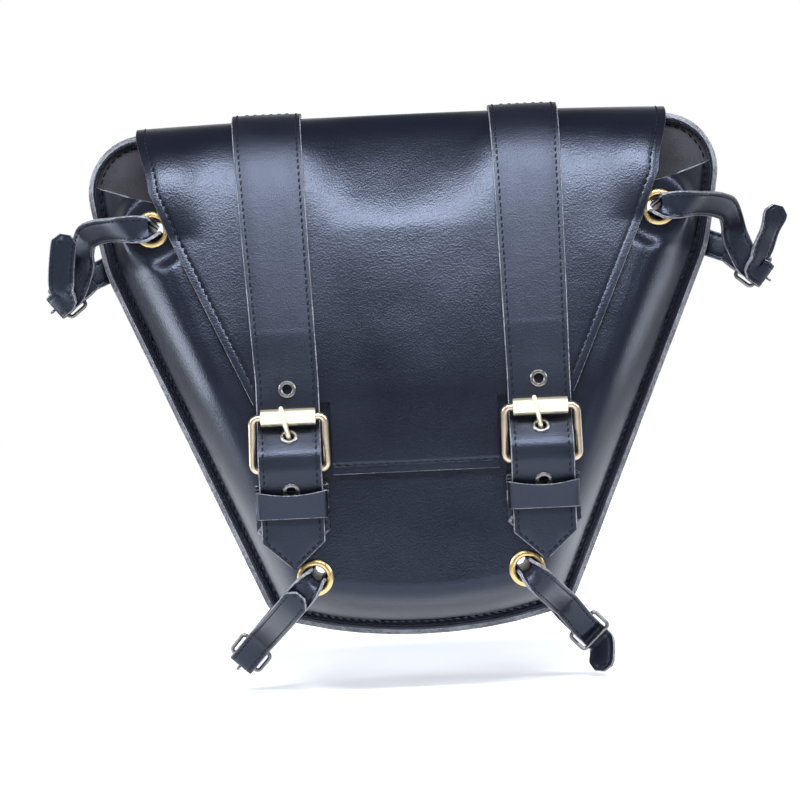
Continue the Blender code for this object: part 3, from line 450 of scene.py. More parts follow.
def fillet(before, corner, after, radius, steps):
    """Arc points that round a corner."""
    corner = Vector(corner)
    to_before = (Vector(before) - corner).normalized()
    to_after = (Vector(after) - corner).normalized()
    half = to_before.angle(to_after) / 2
    centre = corner + (to_before + to_after).normalized() * (radius / math.sin(half))
    reach = radius / math.tan(half)
    start = corner + to_before * reach - centre
    end = corner + to_after * reach - centre
    turn = start.angle(end)
    points = []
    for step in range(steps + 1):
        share = step / steps
        weight_start = math.sin((1 - share) * turn) / math.sin(turn)
        weight_end = math.sin(share * turn) / math.sin(turn)
        points.append(centre + start * weight_start + end * weight_end)
    return points


def bottom_z(x):
    return BOTTOM_Z + BOTTOM_RADIUS - math.sqrt(BOTTOM_RADIUS ** 2 - x ** 2)


def resample(points, pitch):
    """The same polyline with points no further apart than pitch."""
    result = []
    for start, end in zip(points[:-1], points[1:]):
        steps = max(1, math.ceil((end - start).length / pitch))
        result += [start.lerp(end, step / steps) for step in range(steps)]
    return result + [points[-1].copy()]


def half_outline(inset):
    """Right half of the outline, from the bottom centre to the top centre."""
    points = [Vector((x * MM, bottom_z(x * MM))) for x in FOOT_XS]
    points += fillet(points[-1], FOOT, BEND, FOOT_RADIUS, CORNER_STEPS)
    points += fillet(FOOT, BEND, SHOULDER, BEND_RADIUS, CORNER_STEPS)
    points += fillet(BEND, SHOULDER, (0, TOP_Z), SHOULDER_RADIUS, CORNER_STEPS)
    points.append(Vector((0, TOP_Z)))
    moved = []
    last = len(points) - 1
    for index, point in enumerate(points):
        along = points[min(index + 1, last)] - points[max(index - 1, 0)]
        if index in (0, last):
            along.y = 0
        normal = Vector((-along.y, along.x)).normalized()
        moved.append(point + normal * inset)
    return moved


def full_outline(inset, pitch):
    right = resample(half_outline(inset), pitch)
    left = [Vector((-point.x, point.y)) for point in reversed(right[1:-1])]
    return right + left


PANEL_EDGE = [point for point in half_outline(PANEL_INSET) if point.x > SHOULDER_RADIUS or point.y < 0]


def edge_distance(x, z):
    """Distance from the sewn side and bottom edge of the panel."""
    point = Vector((abs(x), z))
    best = 1.0
    for start, end in zip(PANEL_EDGE[:-1], PANEL_EDGE[1:]):
        span = end - start
        share = clamp((point - start).dot(span) / span.dot(span))
        best = min(best, (point - start - span * share).length)
    return best


def bulge(x, z):
    rise = clamp((z - BULGE_START_Z) / (BULGE_END_Z - BULGE_START_Z))
    depth = BULGE_MAX - (BULGE_MAX - BULGE_TOP) * rise ** 1.3
    reach = lerp(REACH_LOW, REACH_HIGH, clamp((z + TOP_EYELET[1]) / (2 * TOP_EYELET[1])))
    share = clamp((edge_distance(x, z) - FLANGE) / reach)
    return depth * math.sin(math.pi / 2 * share) ** 0.55


def front_y(x, z):
    """Outer face of the front panel, without the flats under the eyelets."""
    return -(FRONT_BASE + bulge(x, z))


def panel_y(x, z):
    """Outer face of the front panel, flat round the upper eyelets."""
    away = math.hypot(abs(x) - TOP_EYELET[0], z - TOP_EYELET[1])
    flat = 1 - smooth((away - EYELET_FLAT) / EYELET_BLEND)
    return lerp(front_y(x, z), front_y(*TOP_EYELET), flat)


def walk(path, share):
    """The point at a share of a path's length."""
    lengths = [(b - a).length for a, b in zip(path[:-1], path[1:])]
    left = clamp(share) * sum(lengths)
    for start, end, length in zip(path[:-1], path[1:], lengths):
        if left <= length:
            return start.lerp(end, left / length)
        left -= length
    return path[-1].copy()


def curve_through(points, steps):
    """Catmull-Rom curve through points of any dimension, given as tuples."""
    closed = [points[0]] + list(points) + [points[-1]]
    result = []
    for index in range(1, len(closed) - 2):
        p0, p1, p2, p3 = closed[index - 1:index + 3]
        for step in range(steps):
            t = step / steps
            result.append(tuple(
                0.5 * (2 * b + (c - a) * t + (2 * a - 5 * b + 4 * c - d) * t * t
                       + (3 * b - a - 3 * c + d) * t ** 3)
                for a, b, c, d in zip(p0, p1, p2, p3)))
    result.append(tuple(points[-1]))
    return result


# ---------------------------------------------------------------- mesh helpers


def add_object(name, data):
    result = bpy.data.objects.new(name, data)
    bpy.context.scene.collection.objects.link(result)
    return result


def mesh_object(name, points, faces, materials, slots=None, crisp=38):
    """A mesh with smooth shading that breaks at edges sharper than crisp degrees."""
    mesh = bpy.data.meshes.new(name)
    mesh.from_pydata([tuple(point) for point in points], [], faces)
    for finish in materials:
        mesh.materials.append(finish)
    if slots is not None:
        mesh.polygons.foreach_set("material_index", slots)
    mesh.shade_smooth()
    mesh.set_sharp_from_angle(angle=math.radians(crisp))
    mesh.validate()
    return add_object(name, mesh)


def fit_out(piece, body, slot, *nodes):
    """Put a finished piece on its body, in place of its CAD nodes."""
    if body:
        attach(piece, body)
    if nodes:
        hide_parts(*nodes)
    return piece


def normals_of(grid):
    along = np.gradient(grid, axis=1)
    up = np.gradient(grid, axis=0)
    normals = np.cross(along, up)
    return normals / np.maximum(np.linalg.norm(normals, axis=2, keepdims=True), 1e-12)


def rim_of(rows, columns):
    """Grid places round the edge of a sheet, in turn."""
    last_row, last_column = rows - 1, columns - 1
    rim = [(0, column) for column in range(last_column)]
    rim += [(row, last_column) for row in range(last_row)]
    rim += [(last_row, column) for column in range(last_column, 0, -1)]
    return rim + [(row, 0) for row in range(last_row, 0, -1)]


def leaf(name, grid, thickness, materials):
    """A closed sheet: outer face on the grid, inner face behind it, and a rounded rim."""
    rows, columns = grid.shape[:2]
    normals = normals_of(grid)
    inner = grid - normals * thickness
    count = rows * columns
    index = np.arange(count).reshape(rows, columns)
    faces = []
    slots = []
    for row in range(rows - 1):
        for column in range(columns - 1):
            a, b = index[row, column], index[row, column + 1]
            c, d = index[row + 1, column + 1], index[row + 1, column]
            faces.append((a, b, c, d))
            faces.append((count + d, count + c, count + b, count + a))
            slots += [0, 2]
    rim = rim_of(rows, columns)
    middle = []
    for row, column in rim:
        normal = normals[row, column]
        inside = grid[min(max(row, 1), rows - 2), min(max(column, 1), columns - 2)]
        out = grid[row, column] - inside
        out -= normal * out.dot(normal)
        out /= max(np.linalg.norm(out), 1e-9)
        middle.append([
            grid[row, column] - normal * thickness * depth + out * RIM_ROUND * puff
            for depth, puff in ((0.22, 0.85), (0.5, 1.0), (0.78, 0.85))])
    points = np.concatenate([grid.reshape(-1, 3), inner.reshape(-1, 3), np.array(middle).reshape(-1, 3)])

    def chain(step):
        first = 2 * count + 3 * step
        return [index[rim[step]], first, first + 1, first + 2, count + index[rim[step]]]

    for step in range(len(rim)):
        here = chain(step)
        beside = chain((step + 1) % len(rim))
        for level in range(4):
            faces.append((here[level + 1], beside[level + 1], beside[level], here[level]))
            slots.append(1)
    faces = [tuple(int(corner) for corner in face) for face in faces]
    return mesh_object(name, points, faces, materials, slots)


def sweep(name, rings, materials, slots_round, closed=False, crisp=50):
    """Closed rings joined in turn; slots_round gives each strip's material."""
    size = len(rings[0])
    points = [point for ring in rings for point in ring]
    faces = []
    slots = []
    last = len(rings)
    for row in range(last if closed else last - 1):
        after = (row + 1) % last
        for place in range(size):
            beside = (place + 1) % size
            faces.append((row * size + place, row * size + beside,
                          after * size + beside, after * size + place))
            slots.append(slots_round[place])
    if not closed:
        faces.append(tuple(reversed(range(size))))
        faces.append(tuple(range((last - 1) * size, last * size)))
        slots += [1 if len(materials) > 1 else 0] * 2
    result = mesh_object(name, points, faces, materials, slots, crisp)
    shape = bmesh.new()
    shape.from_mesh(result.data)
    bmesh.ops.recalc_face_normals(shape, faces=shape.faces)
    shape.to_mesh(result.data)
    shape.free()
    return result


def wire(name, points, radius, closed, finish, body, slot, node):
    """A round wire through points, with domed ends where it is open."""
    points = [Vector(point) for point in points]
    last = len(points) - 1
    stations = []
    guide = Vector((0, 0, 0))
    for index, point in enumerate(points):
        if closed:
            tangent = points[(index + 1) % len(points)] - points[index - 1]
        else:
            tangent = points[min(index + 1, last)] - points[max(index - 1, 0)]
        tangent.normalize()
        if guide.length < 0.5:
            guide = tangent.orthogonal()
        guide = (guide - tangent * guide.dot(tangent)).normalized()
        stations.append((point, tangent, guide, tangent.cross(guide)))

    def ring_at(point, guide, side, size):
        return [point + (guide * math.cos(angle) + side * math.sin(angle)) * size
                for angle in (math.tau * step / WIRE_SIDES for step in range(WIRE_SIDES))]

    def dome(station, sense):
        point, tangent, guide, side = station
        return [
            ring_at(point + tangent * sense * radius * math.cos(turn), guide, side, radius * math.sin(turn))
            for turn in map(math.radians, (10, 35, 62))]

    rings = [ring_at(point, guide, side, radius) for point, tangent, guide, side in stations]
    if not closed:
        rings = dome(stations[0], -1) + rings + dome(stations[-1], 1)[::-1]
    piece = sweep(name, rings, [finish], [0] * WIRE_SIDES, closed)
    return fit_out(piece, body, slot, node)


def lathe(name, profile, place, normal, finish, steps=72):
    """A ring turned from a closed (radius, height) profile, its axis along normal."""
    turn = UP.rotation_difference(normal)
    rings = []
    for step in range(steps):
        angle = math.tau * step / steps
        rings.append([
            place + turn @ Vector((radius * math.cos(angle), radius * math.sin(angle), height))
            for radius, height in profile])
    return sweep(name, rings, [finish], [0] * len(profile), True, 55)


def rounded(corners, radius, steps):
    """A closed run of corners, each turned into an arc of one radius."""
    points = []
    for index, corner in enumerate(corners):
        points += fillet(corners[index - 1], corner, corners[(index + 1) % len(corners)], radius, steps)
    return points


def round_profile(corners, radius, steps=4):
    """A closed profile in mm made metres, with its corners rounded as far as its short sides allow."""
    corners = [(across * MM, height * MM) for across, height in corners]
    result = []
    for index, corner in enumerate(corners):
        before = Vector(corners[index - 1])
        after = Vector(corners[(index + 1) % len(corners)])
        corner = Vector(corner)
        limit = 0.45 * min((before - corner).length, (after - corner).length)
        half = (before - corner).angle(after - corner) / 2
        reach = min(radius / math.tan(half), limit)
        result += [tuple(point) for point in fillet(before, corner, after, reach * math.tan(half), steps)]
    return result


def drill(piece, places):
    """Cut round holes right through a piece, from (place, normal, radius, depth, sides)."""
    for place, normal, size, depth, sides in places:
        cut(piece, UP.rotation_difference(normal), place, (size, size, depth), sides)


def cut(piece, turn, place, size, sides, tangled=False):
    """Take a straight-sided cutter out of a piece; tangled pieces are ones that fold onto themselves."""
    bpy.ops.mesh.primitive_cylinder_add(vertices=sides, radius=1, depth=1, location=place)
    cutter = bpy.context.object
    cutter.scale = size
    cutter.rotation_mode = "QUATERNION"
    cutter.rotation_quaternion = turn
    knife = piece.modifiers.new("hole", "BOOLEAN")
    knife.operation = "DIFFERENCE"
    knife.solver = "EXACT"
    knife.use_self = tangled
    knife.object = cutter
    take_shape(piece)
    bpy.data.objects.remove(cutter, do_unlink=True)


def take_shape(piece):
    """Make a piece's modifiers part of its mesh."""
    bpy.context.view_layer.update()
    evaluated = piece.evaluated_get(bpy.context.evaluated_depsgraph_get())
    mesh = bpy.data.meshes.new_from_object(evaluated)
    piece.modifiers.clear()
    piece.data = mesh


def running_lengths(places):
    """Length of a polyline from its start to each of its points."""
    lengths = [0.0]
    for before, after in zip(places[:-1], places[1:]):
        lengths.append(lengths[-1] + (after - before).length)
    return lengths


def stitches(name, lines, body, slot, pitch, length, size=THREAD, tilt=0.1):
    """Stitches along lines of (place, normal), each a small rounded bar that dips in at its ends."""
    around = STITCH_SIDES
    points = []
    faces = []
    for line in lines:
        places = [Vector(place) for place, normal in line]
        lengths = running_lengths(places)
        total = lengths[-1]
        count = max(1, int(total / pitch))
        cursor = 0
        for number in range(count):
            middle = (number + 0.5) * total / count
            while cursor < len(lengths) - 2 and lengths[cursor + 1] < middle:
                cursor += 1
            share = clamp((middle - lengths[cursor]) / max(lengths[cursor + 1] - lengths[cursor], 1e-9))
            centre = places[cursor].lerp(places[cursor + 1], share)
            tangent = (places[cursor + 1] - places[cursor]).normalized()
            normal = Vector(line[cursor][1]).lerp(Vector(line[cursor + 1][1]), share)
            normal = (normal - tangent * normal.dot(tangent)).normalized()
            side = tangent.cross(normal)
            slant = tangent + side * tilt
            start = len(points)
            for along, wide, lift in STITCH_RINGS:
                base = centre + slant * (along * length) + normal * (lift * size)
                for step in range(around):
                    angle = math.tau * step / around
                    points.append(base + (side * math.cos(angle) + normal * math.sin(angle)) * size * wide)
            for ring in range(len(STITCH_RINGS) - 1):
                for step in range(around):
                    a = start + ring * around + step
                    b = start + ring * around + (step + 1) % around
                    faces.append((a, b, b + around, a + around))
            faces.append(tuple(range(start + around - 1, start - 1, -1)))
            end = start + (len(STITCH_RINGS) - 1) * around
            faces.append(tuple(range(end, end + around)))
    piece = mesh_object(name, points, faces, [THREAD_BLACK], None, 80)
    return fit_out(piece, body, slot)


# ---------------------------------------------------------------- shell of the bag


def side_path():
    """The panel's edge from the middle of the foot corner to the mouth, and its edge along the foot."""
    points = half_outline(PANEL_INSET)
    middle = len(FOOT_XS) + CORNER_STEPS // 2
    path = [points[middle]]
    for point in points[middle + 1:]:
        if point.y > MOUTH_SIDE_Z:
            share = (MOUTH_SIDE_Z - path[-1].y) / (point.y - path[-1].y)
            path.append(path[-1].lerp(point, share))
            break
        path.append(point)
    return path, points[:middle + 1]


SIDE_PATH, FOOT_PATH = side_path()


def mouth_z(x):
    return MOUTH_SIDE_Z - MOUTH_DIP * (1 - abs(x / SIDE_PATH[-1].x) ** 5)


def patch(u, v):
    """Flat place in the front panel: a Coons patch inside its four edges."""
    across = math.sin(math.pi / 2 * (2 * u - 1))
    up = (1 - math.cos(math.pi * v)) / 2
    share = (across + 1) / 2
    foot = walk(FOOT_PATH, abs(across))
    foot.x = math.copysign(foot.x, across)
    right = walk(SIDE_PATH, up)
    left = Vector((-right.x, right.y))
    mouth_x = across * SIDE_PATH[-1].x
    mouth = Vector((mouth_x, mouth_z(mouth_x)))
    corners = (
        lerp(Vector((-SIDE_PATH[0].x, SIDE_PATH[0].y)), SIDE_PATH[0], share) * (1 - up)
        + lerp(Vector((-SIDE_PATH[-1].x, SIDE_PATH[-1].y)), SIDE_PATH[-1], share) * up)
    return foot * (1 - up) + mouth * up + left * (1 - share) + right * share - corners


def groove(distance, centre, depth, width=0.9 * MM):
    """Dip of a sheet's face along a line of stitches."""
    return depth * math.exp(-((distance - centre) / width) ** 2)


def undulation(x, z, size, seed):
    """Slow uneven swell of a leather face."""
    broad = noise.noise(Vector((x * 14, seed, z * 14)))
    fine = noise.noise(Vector((x * 38, seed, z * 38)))
    return size * (broad + 0.4 * fine)


def panel_place(u, v, soft):
    flat = patch(u, v)
    x, z = flat.x, flat.y
    y = panel_y(x, z)
    distance = edge_distance(x, z)
    if soft:
        away = math.hypot(abs(x) - TOP_EYELET[0], z - TOP_EYELET[1])
        away = min(away, math.hypot(abs(x) - LOW_EYELET[0], z - LOW_EYELET[1]))
        calm = smooth((away - 12 * MM) / (16 * MM)) * smooth((distance - 5 * MM) / (20 * MM))
        behind_strap = smooth((abs(abs(x) - STRAP_X) - 22 * MM) / (12 * MM))
        y += calm * (undulation(x, z, 1.0 * MM, 3.1) - 0.2 * MM) * behind_strap
        pucker = math.sin(z * 520 + 3 * noise.noise(Vector((x * 20, 0, z * 20))))
        y += 0.22 * MM * pucker * math.exp(-((distance - 6 * MM) / (4 * MM)) ** 2)
        y += groove(distance, SEAM_INSET, 0.35 * MM, 1.0 * MM)
    return x, y, z


def panel_grid(columns, rows, soft, low=0.0, high=1.0):
    return np.array([
        [panel_place(lerp(low, 1 - low, column / columns), lerp(low, high, row / rows), soft)
         for column in range(columns + 1)] for row in range(rows + 1)])


def eyelet_holes(depth_at):
    """Cutters for the four large eyelets' holes, centred at the Y that depth_at gives."""
    return [
        (Vector((side * x, depth_at(x, z), z)), FORWARD, EYELET_HOLE, EYELET_DRILL, 48)
        for x, z in (TOP_EYELET, LOW_EYELET) for side in (-1, 1)]


def make_front_panel():
    grid = panel_grid(PANEL_COLUMNS, PANEL_ROWS, True)
    piece = leaf("front_panel_leather", grid, LEATHER, [BAG_LEATHER, EDGE, FLESH_SIDE])
    holes = eyelet_holes(panel_y)
    drill(piece, holes)
    fit_out(piece, "bag", "bag_leather", "front_panel")
    grid = panel_grid(60, 50, False, 0.17, 0.985)
    grid -= normals_of(grid) * (LEATHER + LINING_SLACK)
    lining = leaf("front_lining_cloth", grid, LINING, [LINING_CLOTH] * 3)
    drill(lining, holes)
    fit_out(lining, "bag", "lining", "front_lining")


def disc(name, inset, y_front, y_back, finishes, rings=26, swell=0.0, groove_at=None):
    """A flat panel inside the outline, with straight-cut rims and a slightly uneven rear face."""
    outline = full_outline(inset, 3.0 * MM)
    centre = Vector((0, 0))
    shares = [1 - (ring / rings) ** 1.4 for ring in range(rings)]
    if groove_at is not None:
        shares = RIM_SHARES + [share for share in shares if share < 0.95]
    points = []
    for y, facing in ((y_back, 1), (y_front, 0)):
        for share in shares:
            for place in outline:
                flat = centre.lerp(place, share)
                depth = y
                if facing and swell:
                    away = (place - flat).length
                    depth += undulation(flat.x, flat.y, swell, 9.7) * smooth(away / (30 * MM)) - swell * 0.3
                    if groove_at is not None:
                        depth -= groove(away, groove_at, 0.45 * MM, 0.8 * MM)
                points.append(Vector((flat.x, depth, flat.y)))
    size = len(outline)
    layer = size * len(shares)
    faces = []
    slots = []
    for side in range(2):
        for ring in range(len(shares) - 1):
            for step in range(size):
                after = (step + 1) % size
                a = side * layer + ring * size + step
                b = side * layer + ring * size + after
                face = (a, b, b + size, a + size)
                faces.append(face if side else tuple(reversed(face)))
                slots.append(2 * side)
        hub = [side * layer + (len(shares) - 1) * size + step for step in range(size)]
        faces.append(tuple(hub) if side else tuple(reversed(hub)))
        slots.append(2 * side)
    for step in range(size):
        after = (step + 1) % size
        faces.append((step, after, layer + after, layer + step))
        slots.append(1)
    return mesh_object(name, points, faces, finishes, slots)


def make_back():
    """The rear panel, its stiffener board and its lining."""
    sheets = (
        ("panel", "leather", PANEL_INSET, -LEATHER, 0, "bag_leather",
         dict(finishes=[BAG_LEATHER, EDGE, FLESH_SIDE], swell=0.35 * MM, groove_at=SEAM_INSET)),
        ("board", "sheet", PANEL_INSET + BOARD_INSET, BOARD_Y - BOARD, BOARD_Y, "board",
         dict(finishes=[BOARD_GREY] * 3, rings=6)),
        ("lining", "cloth", PANEL_INSET, LINING_Y - LINING, LINING_Y, "lining",
         dict(finishes=[LINING_CLOTH] * 3, rings=12)))
    holes = eyelet_holes(lambda x, z: 0)
    for layer, stuff, inset, y_front, y_back, slot, options in sheets:
        piece = disc(f"back_{layer}_{stuff}", inset, y_front, y_back, **options)
        drill(piece, holes)
        fit_out(piece, "bag", slot, f"back_{layer}")


def layer_ring(place, out, y_rear, y_fore, step_in):
    """Rounded outer edge of one leather layer."""
    inner = place - out * BINDING_WIDTH
    tip = place - out * step_in
    radius = min(0.6 * MM, (y_rear - y_fore) * 0.35)
    section = [
        (inner, y_rear), (tip - out * radius, y_rear), (tip - out * radius * 0.3, y_rear - radius * 0.3),
        (tip, y_rear - radius), (tip, y_fore + radius), (tip - out * radius * 0.3, y_fore + radius * 0.3),
        (tip - out * radius, y_fore), (inner, y_fore)]
    return [Vector((flat.x, y, flat.y)) for flat, y in section]


def make_binding():
    """The bag's edge: three stacked leather layers, stepped back towards the front."""
    outline = full_outline(0, 4 * MM)
    size = len(outline)
    depth = BINDING_BACK_Y - BINDING_FRONT_Y
    layers = (("rear", 0.0, 0.36, 0.0), ("middle", 0.38, 0.66, 1.35 * MM), ("front", 0.68, 1.0, 2.6 * MM))
    for layer, start, end, step_in in layers:
        rings = []
        for index, place in enumerate(outline):
            along = outline[(index + 1) % size] - outline[index - 1]
            out = Vector((along.y, -along.x)).normalized()
            wobble = 0.16 * MM * noise.noise(Vector((place.x * 60, start * 10, place.y * 60)))
            rings.append(layer_ring(place, out, BINDING_BACK_Y - depth * start, BINDING_BACK_Y - depth * end,
                                    step_in + 0.2 * MM + wobble))
        face_slots = [1, 1, 1, 1, 1, 1, 0, 1] if layer == "front" else [1] * 8
        piece = sweep(f"edge_layer_{layer}", rings, [BAG_LEATHER, EDGE], face_slots, True)
        fit_out(piece, "bag", "cut_edge", *(["edge_binding"] if layer == "front" else []))


def seam_lines():
    """The front seam on the panel's flange, the corner seams on the lining, and the rear seam."""
    outline = full_outline(PANEL_INSET + SEAM_INSET, 2 * MM)
    right_low = [place for place in outline if place.x >= 0 and place.y <= MOUTH_SIDE_Z]
    lower = [Vector((-place.x, place.y)) for place in reversed(right_low[1:])] + right_low
    front = [
        (Vector((place.x, panel_y(place.x, place.y) + 0.1 * MM, place.y)), FORWARD) for place in lower]
    corners = [
        [(Vector((side * place.x, LINING_Y - LINING - 0.1 * MM, place.y)), FORWARD)
         for place in outline if place.x > CORNER_SEAM_X and place.y > MOUTH_SIDE_Z]
        for side in (-1, 1)]
    rear = [(Vector((place.x, -0.25 * MM, place.y)), REAR) for place in outline + outline[:1]]
    return [front], corners, [rear]


def make_seams():
    lines = zip(("front", "corners", "rear"), seam_lines(), (3.5, 3.4, 3.4), (0.6, 0.5, 0.5), (0.4, 0.1, 0.1))
    for name, seam, length, size, tilt in lines:
        stitches(f"seam_stitches_{name}", seam, "bag", "bag_leather", 4.6 * MM, length * MM, size * MM, tilt)


def make_eyelets():
    for level, (eyelet_x, eyelet_z) in (("top", TOP_EYELET), ("bottom", LOW_EYELET)):
        for side, side_name in SIDES:
            face = Vector((side * eyelet_x, panel_y(eyelet_x, eyelet_z), eyelet_z))
            rear = Vector((side * eyelet_x, 0, eyelet_z))
            seats = (("front", face + FORWARD * EYELET_LIFT, FORWARD), ("back", rear + REAR * GAP, REAR))
            for where, seat, normal in seats:
                inner, outer = EYELET_TUBE
                depth = EYELET_DEPTHS[where]
                profile = ((inner, -depth), (outer, -depth), (outer, 0.1), *EYELET_FLANGE)
                ring = lathe(f"{where}_eyelet_{level}_{side_name}_turned",
                             round_profile(profile, 0.45 * MM), seat, normal, BRASS)
                fit_out(ring, "bag", "brass", f"{where}_eyelet_{level}_{side_name}")


make_front_panel()
make_back()
make_binding()
make_seams()
make_eyelets()


# ---------------------------------------------------------------- flap


def flap_half(z):
    """Half-width of the flap at a height."""
    taper = lerp(*FLAP_HALF_WIDTHS, clamp((FLAP_TAPER_Z - z) / FLAP_TAPER_HEIGHT))
    return taper + FLAP_FLARE * smooth((z - FLAP_FLARE_Z) / (FLAP_TOP_Z - FLAP_FLARE_Z))


def flap_turn(v):
    """Angle of the flap's fold: 0 over the edge, a right angle at the front."""
    return math.pi / 2 * clamp((v - FLAP_FLAT_ROWS) / (FLAP_TOP_ROWS - FLAP_FLAT_ROWS))


def flap_top(x):
    return FLAP_TOP_Z + FLAP_CROWN * (1 - (x / ANCHOR_HALF) ** 2)


def flap_fold(x, share):
    """Outer face of the fold, from the flat top (share 0) down to the panel's slope (share 1)."""
    top = Vector((x, FLAP_FOLD_Y, flap_top(x)))
    end = Vector((x, front_y(x, FLAP_FRONT_Z) - FLAP_OUT, FLAP_FRONT_Z))
    inner, outer = FLAP_FULL_X
    fullness = lerp(*FLAP_FULLNESS, smooth((abs(x) - inner) / (outer - inner)))
    inner, outer = FLAP_UPRIGHT_X
    slope = (front_y(x, FLAP_FRONT_Z + MM) - front_y(x, FLAP_FRONT_Z)) / MM
    slope *= smooth((outer - abs(x)) / (outer - inner))
    rise = (top.z - end.z) * fullness
    ahead = Vector((x, lerp(top.y, end.y, fullness), top.z))
    above = end + Vector((0, slope * rise, rise))
    rest = 1 - share
    return top * rest ** 3 + ahead * 3 * rest ** 2 * share + above * 3 * rest * share ** 2 + end * share ** 3


def flap_outer(x, v):
    """Place on the flap's outer face, v from the hinge (0) to the lower edge (1)."""
    if v < FLAP_FLAT_ROWS:
        return Vector((x, lerp(HINGE.y, FLAP_FOLD_Y, clamp(v / FLAP_FLAT_ROWS)), flap_top(x)))
    if v < FLAP_TOP_ROWS:
        return flap_fold(x, (v - FLAP_FLAT_ROWS) / (FLAP_TOP_ROWS - FLAP_FLAT_ROWS))
    z = lerp(FLAP_FRONT_Z, FLAP_LOW_Z, (v - FLAP_TOP_ROWS) / (1 - FLAP_TOP_ROWS))
    return Vector((x, front_y(x, z) - FLAP_OUT, z))


def flap_columns():
    """Column places as (share of the inner half-width, distance from the edge)."""
    places = [(-1, distance * MM) for distance in FLAP_MARGIN]
    places += [(lerp(-1, 1, step / FLAP_INNER_COLUMNS), None) for step in range(1, FLAP_INNER_COLUMNS)]
    return places + [(1, distance * MM) for distance in reversed(FLAP_MARGIN)]


def column_x(column, half):
    share, distance = column
    if distance is None:
        return share * (half - FLAP_MARGIN[-1] * MM)
    return share * (half - distance)


def flap_softness(x, v, z):
    """How far the flap's leather sinks between the straps, and its uneven swell."""
    between = math.cos(math.pi / 2 * clamp(abs(x) / FLAP_SAG_HALF)) ** 0.8
    sag = FLAP_SAG * between * math.sin(2 * flap_turn(v)) ** 1.5
    beside = smooth((abs(abs(x) - STRAP_X) - 20 * MM) / (14 * MM))
    swell = undulation(x, z, FLAP_SWELL, 5.3) * beside
    return sag, swell * smooth(v / FLAP_TOP_ROWS * 1.5)


def rear_rows(x):
    """The flap's sewn end on the rear face, from its lower edge up to the hinge."""
    top = flap_top(x)
    rows = []
    for distance in ANCHOR_ROWS:
        dip = sum(groove(distance * MM, seam, 0.3 * MM) for seam in ANCHOR_SEAMS)
        rows.append((ANCHOR_Y - dip, ANCHOR_LOW_Z + distance * MM))
    start, corner, end = Vector((ANCHOR_Y, 147 * MM)), Vector((ANCHOR_Y, top)), Vector((-0.4 * MM, top))
    for step in range(1, 9):
        t = step / 8
        place = start * (1 - t) ** 2 + corner * 2 * t * (1 - t) + end * t ** 2
        rows.append((place.x, place.y))
    return rows


def cut_corners(piece):
    """Narrow the flap to a tongue between the buckles."""
    square = Quaternion((0, 0, 1), math.radians(45))
    half = FLAP_CUT_HALF
    for side in (-1, 1):
        place = (side * (FLAP_TONGUE_HALF + half), FLAP_CUT_Y, FLAP_STEP_Z - half)
        cut(piece, square, place, (half * math.sqrt(2), half * math.sqrt(2), 2 * half), 4)


def make_flap():
    columns = flap_columns()
    shares = [share * FLAP_FLAT_ROWS for share in (0.2, 0.5, 0.8)]
    for start, end, steps in FLAP_ROW_RUNS:
        shares += [lerp(start, end, step / steps) for step in range(steps)]
    shares.append(1)
    rows = []
    for index in range(len(rear_rows(0))):
        row = []
        for column in columns:
            x = column_x(column, ANCHOR_HALF + 0.5 * MM)
            y, z = rear_rows(x)[index]
            row.append((x, y, z))
        rows.append(row)
    for v in shares:
        half = flap_half(flap_outer(0, v).z)
        row = []
        for column in columns:
            x = column_x(column, half)
            place = flap_outer(x, v)
            if v > FLAP_FLAT_ROWS:
                sag, swell = flap_softness(x, v, place.z)
                turn = flap_turn(v)
                place += Vector((0, math.sin(turn), -math.cos(turn))) * sag
                place.y -= swell
                side_groove = groove(half - abs(x), FLAP_STITCH, 0.35 * MM)
                low_groove = groove(place.z - FLAP_LOW_Z, FLAP_STITCH, 0.35 * MM)
                place.y += max(side_groove, low_groove)
            row.append(tuple(place))
        rows.append(row)
    grid = np.array(rows[::-1])
    piece = leaf("flap_leather", grid, FLAP, [BAG_LEATHER, EDGE, FLESH_SIDE])
    cut_corners(piece)
    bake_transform(piece)
    fit_out(piece, None, "bag_leather", "flap", "flap_anchor")
    rise = len(shares)
    lining = grid[6:rise - 6:2, 10:-10:2]
    lining = lining - normals_of(lining) * (FLAP + FLAP_LINING_GAP)
    cloth = leaf("flap_lining_cloth", lining, FLAP_LINING, [LINING_CLOTH] * 3)
    cut_corners(cloth)
    fit_out(cloth, "flap", "lining", "flap_lining")


def flap_stitch_lines():
    """Lines 5 mm inside the flap's sides and lower edge, starting in front of the fold."""
    def place_at(x, v):
        outer = flap_outer(x, v)
        step = 0.004
        across = flap_outer(x + 0.002, v) - flap_outer(x - 0.002, v)
        up = flap_outer(x, max(v - step, 0)) - flap_outer(x, min(v + step, 1))
        normal = across.cross(up).normalized()
        return outer - normal * 0.12 * MM, normal

    right = []
    for step in range(151):
        v = lerp(0.09, 1, step / 150)
        z = flap_outer(0, v).z
        if z < FLAP_STEP_Z + 3 * MM:
            break
        right.append(place_at(flap_half(z) - FLAP_STITCH, v))
    low = []
    v = FLAP_TOP_ROWS + (1 - FLAP_TOP_ROWS) * (1 - FLAP_STITCH / (FLAP_FRONT_Z - FLAP_LOW_Z))
    for step in range(61):
        low.append(place_at(lerp(1, -1, step / 60) * (FLAP_TONGUE_HALF - 1 * MM), v))
    left = [(Vector((-place.x, place.y, place.z)), Vector((-normal.x, normal.y, normal.z)))
            for place, normal in reversed(right)]
    return [right, low, left]


